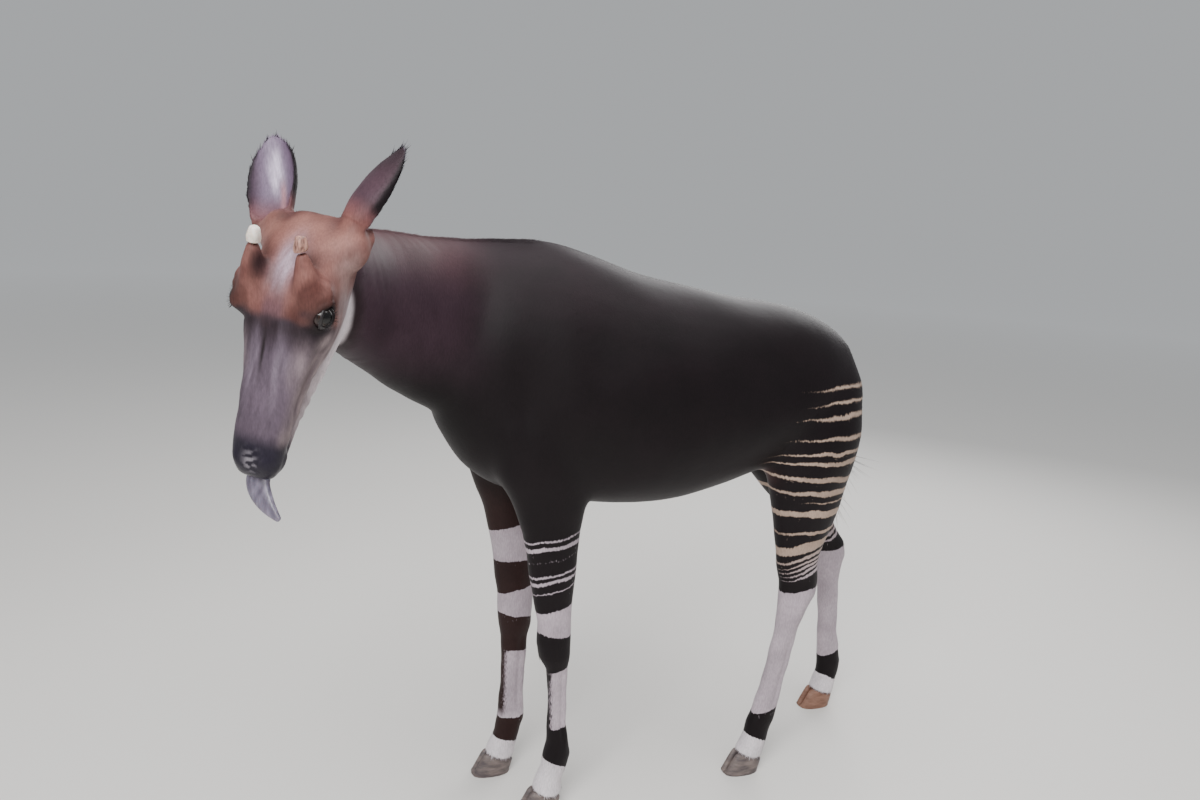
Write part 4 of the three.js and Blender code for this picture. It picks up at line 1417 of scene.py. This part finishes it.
@dataclass
class Eye:
    """Eyeball with a slight corneal bulge, and its two lids with lashes."""

    side: Side
    radius_mm: float = 20.6
    bulge_mm: float = 1.6
    lid_mm: float = 2.6
    lid_gap_mm: float = 1.2
    lid_wall_mm: float = 1.1
    lid_width: float = 0.62
    look: tuple[float, float, float] = (0.05, 0.38, 0.92)
    half_wide: float = 0.86
    half_high: float = 0.50
    half_low: float = 0.40
    rings: int = 56
    sections: int = 9
    lashes: int = 46
    lash_mm: tuple[float, float] = (7, 6)

    def centre(self) -> Vector:
        """Middle of the solid eye, in metres."""
        low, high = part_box(f"eye_{self.side.word}")
        return (low + high) / 2

    def axes(self) -> Matrix:
        """Columns: along the lids, up over the brow, and the way the eye looks."""
        sign = self.side.value
        look = Vector(HEAD.way((self.look[0], self.look[1], self.look[2] * sign)))
        nose = Vector(HEAD.way((1, 0, 0)))
        along = (nose - look * nose.dot(look)).normalized()
        up = along.cross(look) * (-sign)
        return Matrix((along, up, look)).transposed()

    def build(self, ball_finish: bpy.types.Material, lid_finish: bpy.types.Material) -> None:
        """Makes the ball, the lids and the lashes.

        Args:
            ball_finish: the wet eye.
            lid_finish: the bare skin of lids and lashes.
        """
        centre, axes = self.centre(), self.axes()
        work = bmesh.new()
        bmesh.ops.create_uvsphere(work, u_segments=64, v_segments=40, radius=self.radius_mm * MM)
        look = axes.col[2]
        layer = work.verts.layers.float.new("pupil")
        for vertex in work.verts:
            toward = vertex.co.normalized().dot(look)
            vertex[layer] = max(0.0, (toward - 0.5) * 2)
            vertex.co *= 1 + self.bulge_mm / self.radius_mm * max(0.0, (toward - 0.55) / 0.45)
        bmesh.ops.translate(work, verts=work.verts, vec=centre)
        item = dressed(f"eyeball_{self.side.word}", work, ball_finish)
        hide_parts(f"eye_{self.side.word}")
        self._lids(centre, axes, lid_finish)

    def _lids(self, centre: Vector, axes: Matrix, finish: bpy.types.Material) -> None:
        """Sweeps the rim of both lids as an almond ring round the opening, close on the ball.

        Args:
            centre: the ball's middle.
            axes: the eye's own directions.
            finish: the bare skin.
        """
        work = bmesh.new()
        grid: list[list[bmesh.types.BMVert]] = []
        for i in range(self.rings):
            angle = i / self.rings * 2 * math.pi
            cross, rise = math.cos(angle), math.sin(angle)
            wide = self.half_wide * cross
            high = (self.half_high if rise > 0 else self.half_low) * rise * (1 - 0.25 * abs(cross) ** 3)
            row = []
            for j in range(self.sections):
                roll = j / (self.sections - 1)
                reach = 1 + roll * self.lid_width
                swell = self.lid_mm * math.sin(math.pi * min(1.0, roll * 1.4) * 0.62)
                away = self.radius_mm + self.lid_gap_mm + swell
                spread = axes @ Vector((wide * reach, high * reach, 0))
                size = min(spread.length, 1.35)
                ray = axes.col[2] * math.cos(size) + spread.normalized() * math.sin(size)
                row.append(work.verts.new(centre + ray * away * MM))
            grid.append(row)
        for i in range(self.rings):
            following = grid[(i + 1) % self.rings]
            for j in range(self.sections - 1):
                work.faces.new((grid[i][j], following[j], following[j + 1], grid[i][j + 1]))
        bmesh.ops.recalc_face_normals(work, faces=work.faces)
        bmesh.ops.solidify(work, geom=work.faces[:], thickness=self.lid_wall_mm * MM)
        dressed(f"lids_{self.side.word}", work, finish)
        self._lashes(centre, axes, finish)

    def _lashes(self, centre: Vector, axes: Matrix, finish: bpy.types.Material) -> None:
        """Sets a row of dark lashes on the upper lid, longer towards its middle.

        Args:
            centre: the ball's middle.
            axes: the eye's own directions.
            finish: the bare skin.
        """
        work = bmesh.new()
        maker = np.random.default_rng(SEED + self.side.value)
        for i in range(self.lashes):
            share = (i + maker.uniform(0.1, 0.9)) / self.lashes
            angle = math.pi * (0.08 + 0.84 * share)
            direction = axes @ Vector((self.half_wide * math.cos(angle), self.half_high * math.sin(angle), 0))
            spread = min(direction.length, 1.2)
            ray = axes.col[2] * math.cos(spread) + direction.normalized() * math.sin(spread)
            root = centre + ray * (self.radius_mm + 3.2) * MM
            way = (ray * 0.9 + direction.normalized() * 0.35 - axes.col[1] * 0.5
                   + Vector(maker.normal(scale=0.07, size=3))).normalized()
            length = (self.lash_mm[0] + self.lash_mm[1] * math.sin(angle)) * MM * maker.uniform(0.8, 1.15)
            turn = way.to_track_quat("Z", "Y").to_matrix().to_4x4()
            place = Matrix.Translation(root + way * length / 2) @ turn
            bmesh.ops.create_cone(work, cap_ends=True, segments=4, radius1=0.45 * MM, radius2=0.08 * MM,
                                  depth=length, matrix=place)
        dressed(f"lashes_{self.side.word}", work, finish)


@dataclass(frozen=True)
class PlainFinish:
    """A close-grained natural finish with two tones and a fine relief."""

    name: str
    tone: str
    second: str
    roughness: float
    grain_mm: float
    stretch: tuple[float, float, float] = (1.0, 1.0, 1.0)
    relief_mm: float = 0.4
    coat: float = 0.0
    scatter: float = 0.0

    def build(self) -> bpy.types.Material:
        """Makes the material."""
        material = bpy.data.materials.new(self.name)
        material.use_nodes = True
        tree = material.node_tree
        surface = tree.nodes["Principled BSDF"]
        place = add(tree, "TexCoord").outputs["Object"]
        size = tuple(1000 / self.grain_mm * s for s in self.stretch)
        drawn = add(tree, "Mapping", {"Vector": place}, {"Scale": size})
        noise = add(tree, "TexNoise", {"Vector": drawn}, {"Scale": 1.0, "Detail": 5.0})
        ramp = add(tree, "ValToRGB", {0: noise})
        set_ramp(ramp, [(0.35, linear(self.tone)), (0.68, linear(self.second))])
        tree.links.new(ramp.outputs[0], surface.inputs["Base Color"])
        bump = add(tree, "Bump", {"Height": noise}, {"Strength": 0.5, "Distance": self.relief_mm * MM})
        tree.links.new(bump.outputs[0], surface.inputs["Normal"])
        surface.inputs["Roughness"].default_value = self.roughness
        surface.inputs["Coat Weight"].default_value = self.coat
        surface.inputs["Coat Roughness"].default_value = 0.15
        if self.scatter:
            surface.inputs["Subsurface Weight"].default_value = self.scatter
            surface.inputs["Subsurface Scale"].default_value = 0.004
        return material


LID_SKIN = PlainFinish("lid_bare_skin", "#0f0a0c", "#1c1417", 0.38, 3.0, relief_mm=0.3)
TONGUE_SKIN = PlainFinish("tongue_wet_skin", "#554e5d", "#827a8c", 0.34, 14.0, (1.4, 1.4, 0.5), 0.5, 0.4, 0.1)
BONE_PALE = PlainFinish("horn_tip_worn_bone", "#f1e9e0", "#c9b8a6", 0.5, 9.0, (1, 1, 0.4), 0.8, 0.0, 0.1)
BONE_ROSE = PlainFinish("horn_tip_cracked_bone", "#c59484", "#4a2c26", 0.5, 7.0, (1.3, 1.3, 0.35), 1.2,
                        scatter=0.1)
HOOF_HORN = PlainFinish("hoof_grown_horn", "#4b4243", "#786b66", 0.55, 22.0, (0.6, 0.6, 2.2), 0.5)
HOOF_WARM = PlainFinish("hoof_grown_horn_warm", "#74503f", "#95705e", 0.55, 22.0, (0.6, 0.6, 2.2), 0.5)


@dataclass
class SolidPiece:
    """A firm piece that keeps its solid's form, with smooth edges."""

    node: str
    piece: str
    finish: PlainFinish
    slot: str
    levels: int = 1
    rounding: int = 2
    rough_mm: float = 0.0
    sole_mm: float = 4.0
    wave_mm: float = 11.0

    def build(self) -> bpy.types.Object:
        """Copies the solid, rounds its edges and dresses it."""
        work = node_bmesh(self.node)
        bmesh.ops.dissolve_limit(work, angle_limit=0.02, verts=work.verts, edges=work.edges)
        bmesh.ops.triangulate(work, faces=work.faces)
        bmesh.ops.subdivide_edges(work, edges=work.edges, cuts=self.levels, use_grid_fill=True)
        free = [v for v in work.verts if v.co.z > self.sole_mm * MM]
        for _ in range(self.rounding):
            bmesh.ops.smooth_vert(work, verts=free, factor=0.5, use_axis_x=True, use_axis_y=True,
                                  use_axis_z=True)
        if self.rough_mm:
            work.normal_update()
            waves = ripple(np.array([v.co for v in work.verts]) / MM, self.wave_mm, SEED)
            for vertex, wave in zip(work.verts, waves):
                vertex.co += vertex.normal * float(wave) * self.rough_mm * MM
        item = dressed(self.piece, work, self.finish.build())
        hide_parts(self.node)
        return item


def build_firm_pieces() -> None:
    """Tongue, horn tips and all eight claws."""
    SolidPiece("tongue", "tongue_skin", TONGUE_SKIN, "tongue_skin", 2, 4).build()
    SolidPiece("ossicone_tip_left", "horn_tip_left", BONE_ROSE, "ossicone_bone", 2, 2, 0.6).build()
    SolidPiece("ossicone_tip_right", "horn_tip_right", BONE_PALE, "ossicone_bone", 2, 2, 0.5).build()
    for leg in LEGS:
        finish = HOOF_WARM if leg == "hind_right" else HOOF_HORN
        for claw in Side:
            name = f"hoof_{leg}_{claw.word}"
            SolidPiece(name, f"claw_{leg}_{claw.word}", finish, "hoof_horn", 2, 3).build()


@dataclass
class Studio:
    """Pale floor, soft lights and the camera of the photograph."""

    camera_at: tuple[float, float, float] = (849.3, 2220.8, 1660.3)
    right: tuple[float, float, float] = (-0.9194, 0.3892, 0.0568)
    down: tuple[float, float, float] = (0.0312, 0.2162, -0.9758)
    focal_px: float = 919.9
    image_px: int = 1200
    floor_m: float = 60.0

    def build(self) -> None:
        """Sets the stage."""
        self._floor()
        self._lights()
        self._camera()

    def _floor(self) -> None:
        """Wide pale floor."""
        work = bmesh.new()
        bmesh.ops.create_grid(work, x_segments=1, y_segments=1, size=self.floor_m)
        mesh = bpy.data.meshes.new("floor")
        work.to_mesh(mesh)
        work.free()
        floor = bpy.data.objects.new("floor", mesh)
        bpy.context.scene.collection.objects.link(floor)
        material = bpy.data.materials.new("studio_floor_paint")
        material.use_nodes = True
        surface = material.node_tree.nodes["Principled BSDF"]
        tree = material.node_tree
        place = add(tree, "TexCoord").outputs["Object"]
        away = add(tree, "VectorMath", {0: place}, operation="LENGTH").outputs["Value"]
        share = add(tree, "MapRange", {0: away}, {1: 3.0, 2: 16.0}).outputs[0]
        tone = add(tree, "ValToRGB", {0: share})
        set_ramp(tone, [(0.0, linear("#dddad6")), (1.0, linear("#ffffff"))])
        tree.links.new(tone.outputs[0], surface.inputs["Base Color"])
        surface.inputs["Specular IOR Level"].default_value = 0.0
        surface.inputs["Roughness"].default_value = 0.85
        mesh.materials.append(material)

    def _lights(self) -> None:
        """Large soft lights from above, and an even pale room."""
        world = bpy.data.worlds.new("studio_room")
        world.use_nodes = True
        world.node_tree.nodes["Background"].inputs[0].default_value = linear("#dcdfe2")
        world.node_tree.nodes["Background"].inputs[1].default_value = 0.62
        bpy.context.scene.world = world
        for name, place, power, size in (
                ("key_light", (2.6, 2.9, 3.6), 200, 2.2), ("sky_light", (-0.2, 0.8, 4.8), 190, 4.0),
                ("back_light", (-2.8, -2.4, 3.0), 90, 2.5)):
            data = bpy.data.lights.new(name, "AREA")
            data.energy = power
            data.size = size
            light = bpy.data.objects.new(name, data)
            light.location = place
            light.rotation_euler = (Vector((0, 0, 0.9)) - Vector(place)).to_track_quat("-Z", "Y").to_euler()
            bpy.context.scene.collection.objects.link(light)

    def _camera(self) -> None:
        """Camera with the photograph's place, turn and lens."""
        data = bpy.data.cameras.new("photo_camera")
        data.sensor_width = 36
        data.lens = self.focal_px / self.image_px * 36
        camera = bpy.data.objects.new("photo_camera", data)
        right = Vector(self.right).normalized()
        down = Vector(self.down)
        down = (down - right * down.dot(right)).normalized()
        back = right.cross(-down)
        turn = Matrix((right, -down, back)).transposed().to_4x4()
        place = to_frame(np.array(self.camera_at))
        camera.matrix_world = Matrix.Translation(Vector(place)) @ turn
        bpy.context.scene.collection.objects.link(camera)
        bpy.context.scene.camera = camera


def main() -> None:
    """Builds the okapi piece by piece, then the studio."""
    logging.basicConfig(level=logging.INFO, format="%(message)s")
    coat_finish = OkapiCoat().build("coat_short_fur")
    skin = Skin().build(coat_finish)
    build_coat(skin, coat_finish)
    ball_finish = WetEye().build()
    lid_finish = LID_SKIN.build()
    for side in Side:
        Eye(side).build(ball_finish, lid_finish)
    build_firm_pieces()
    Studio().build()


if __name__ == "__main__":
    main()
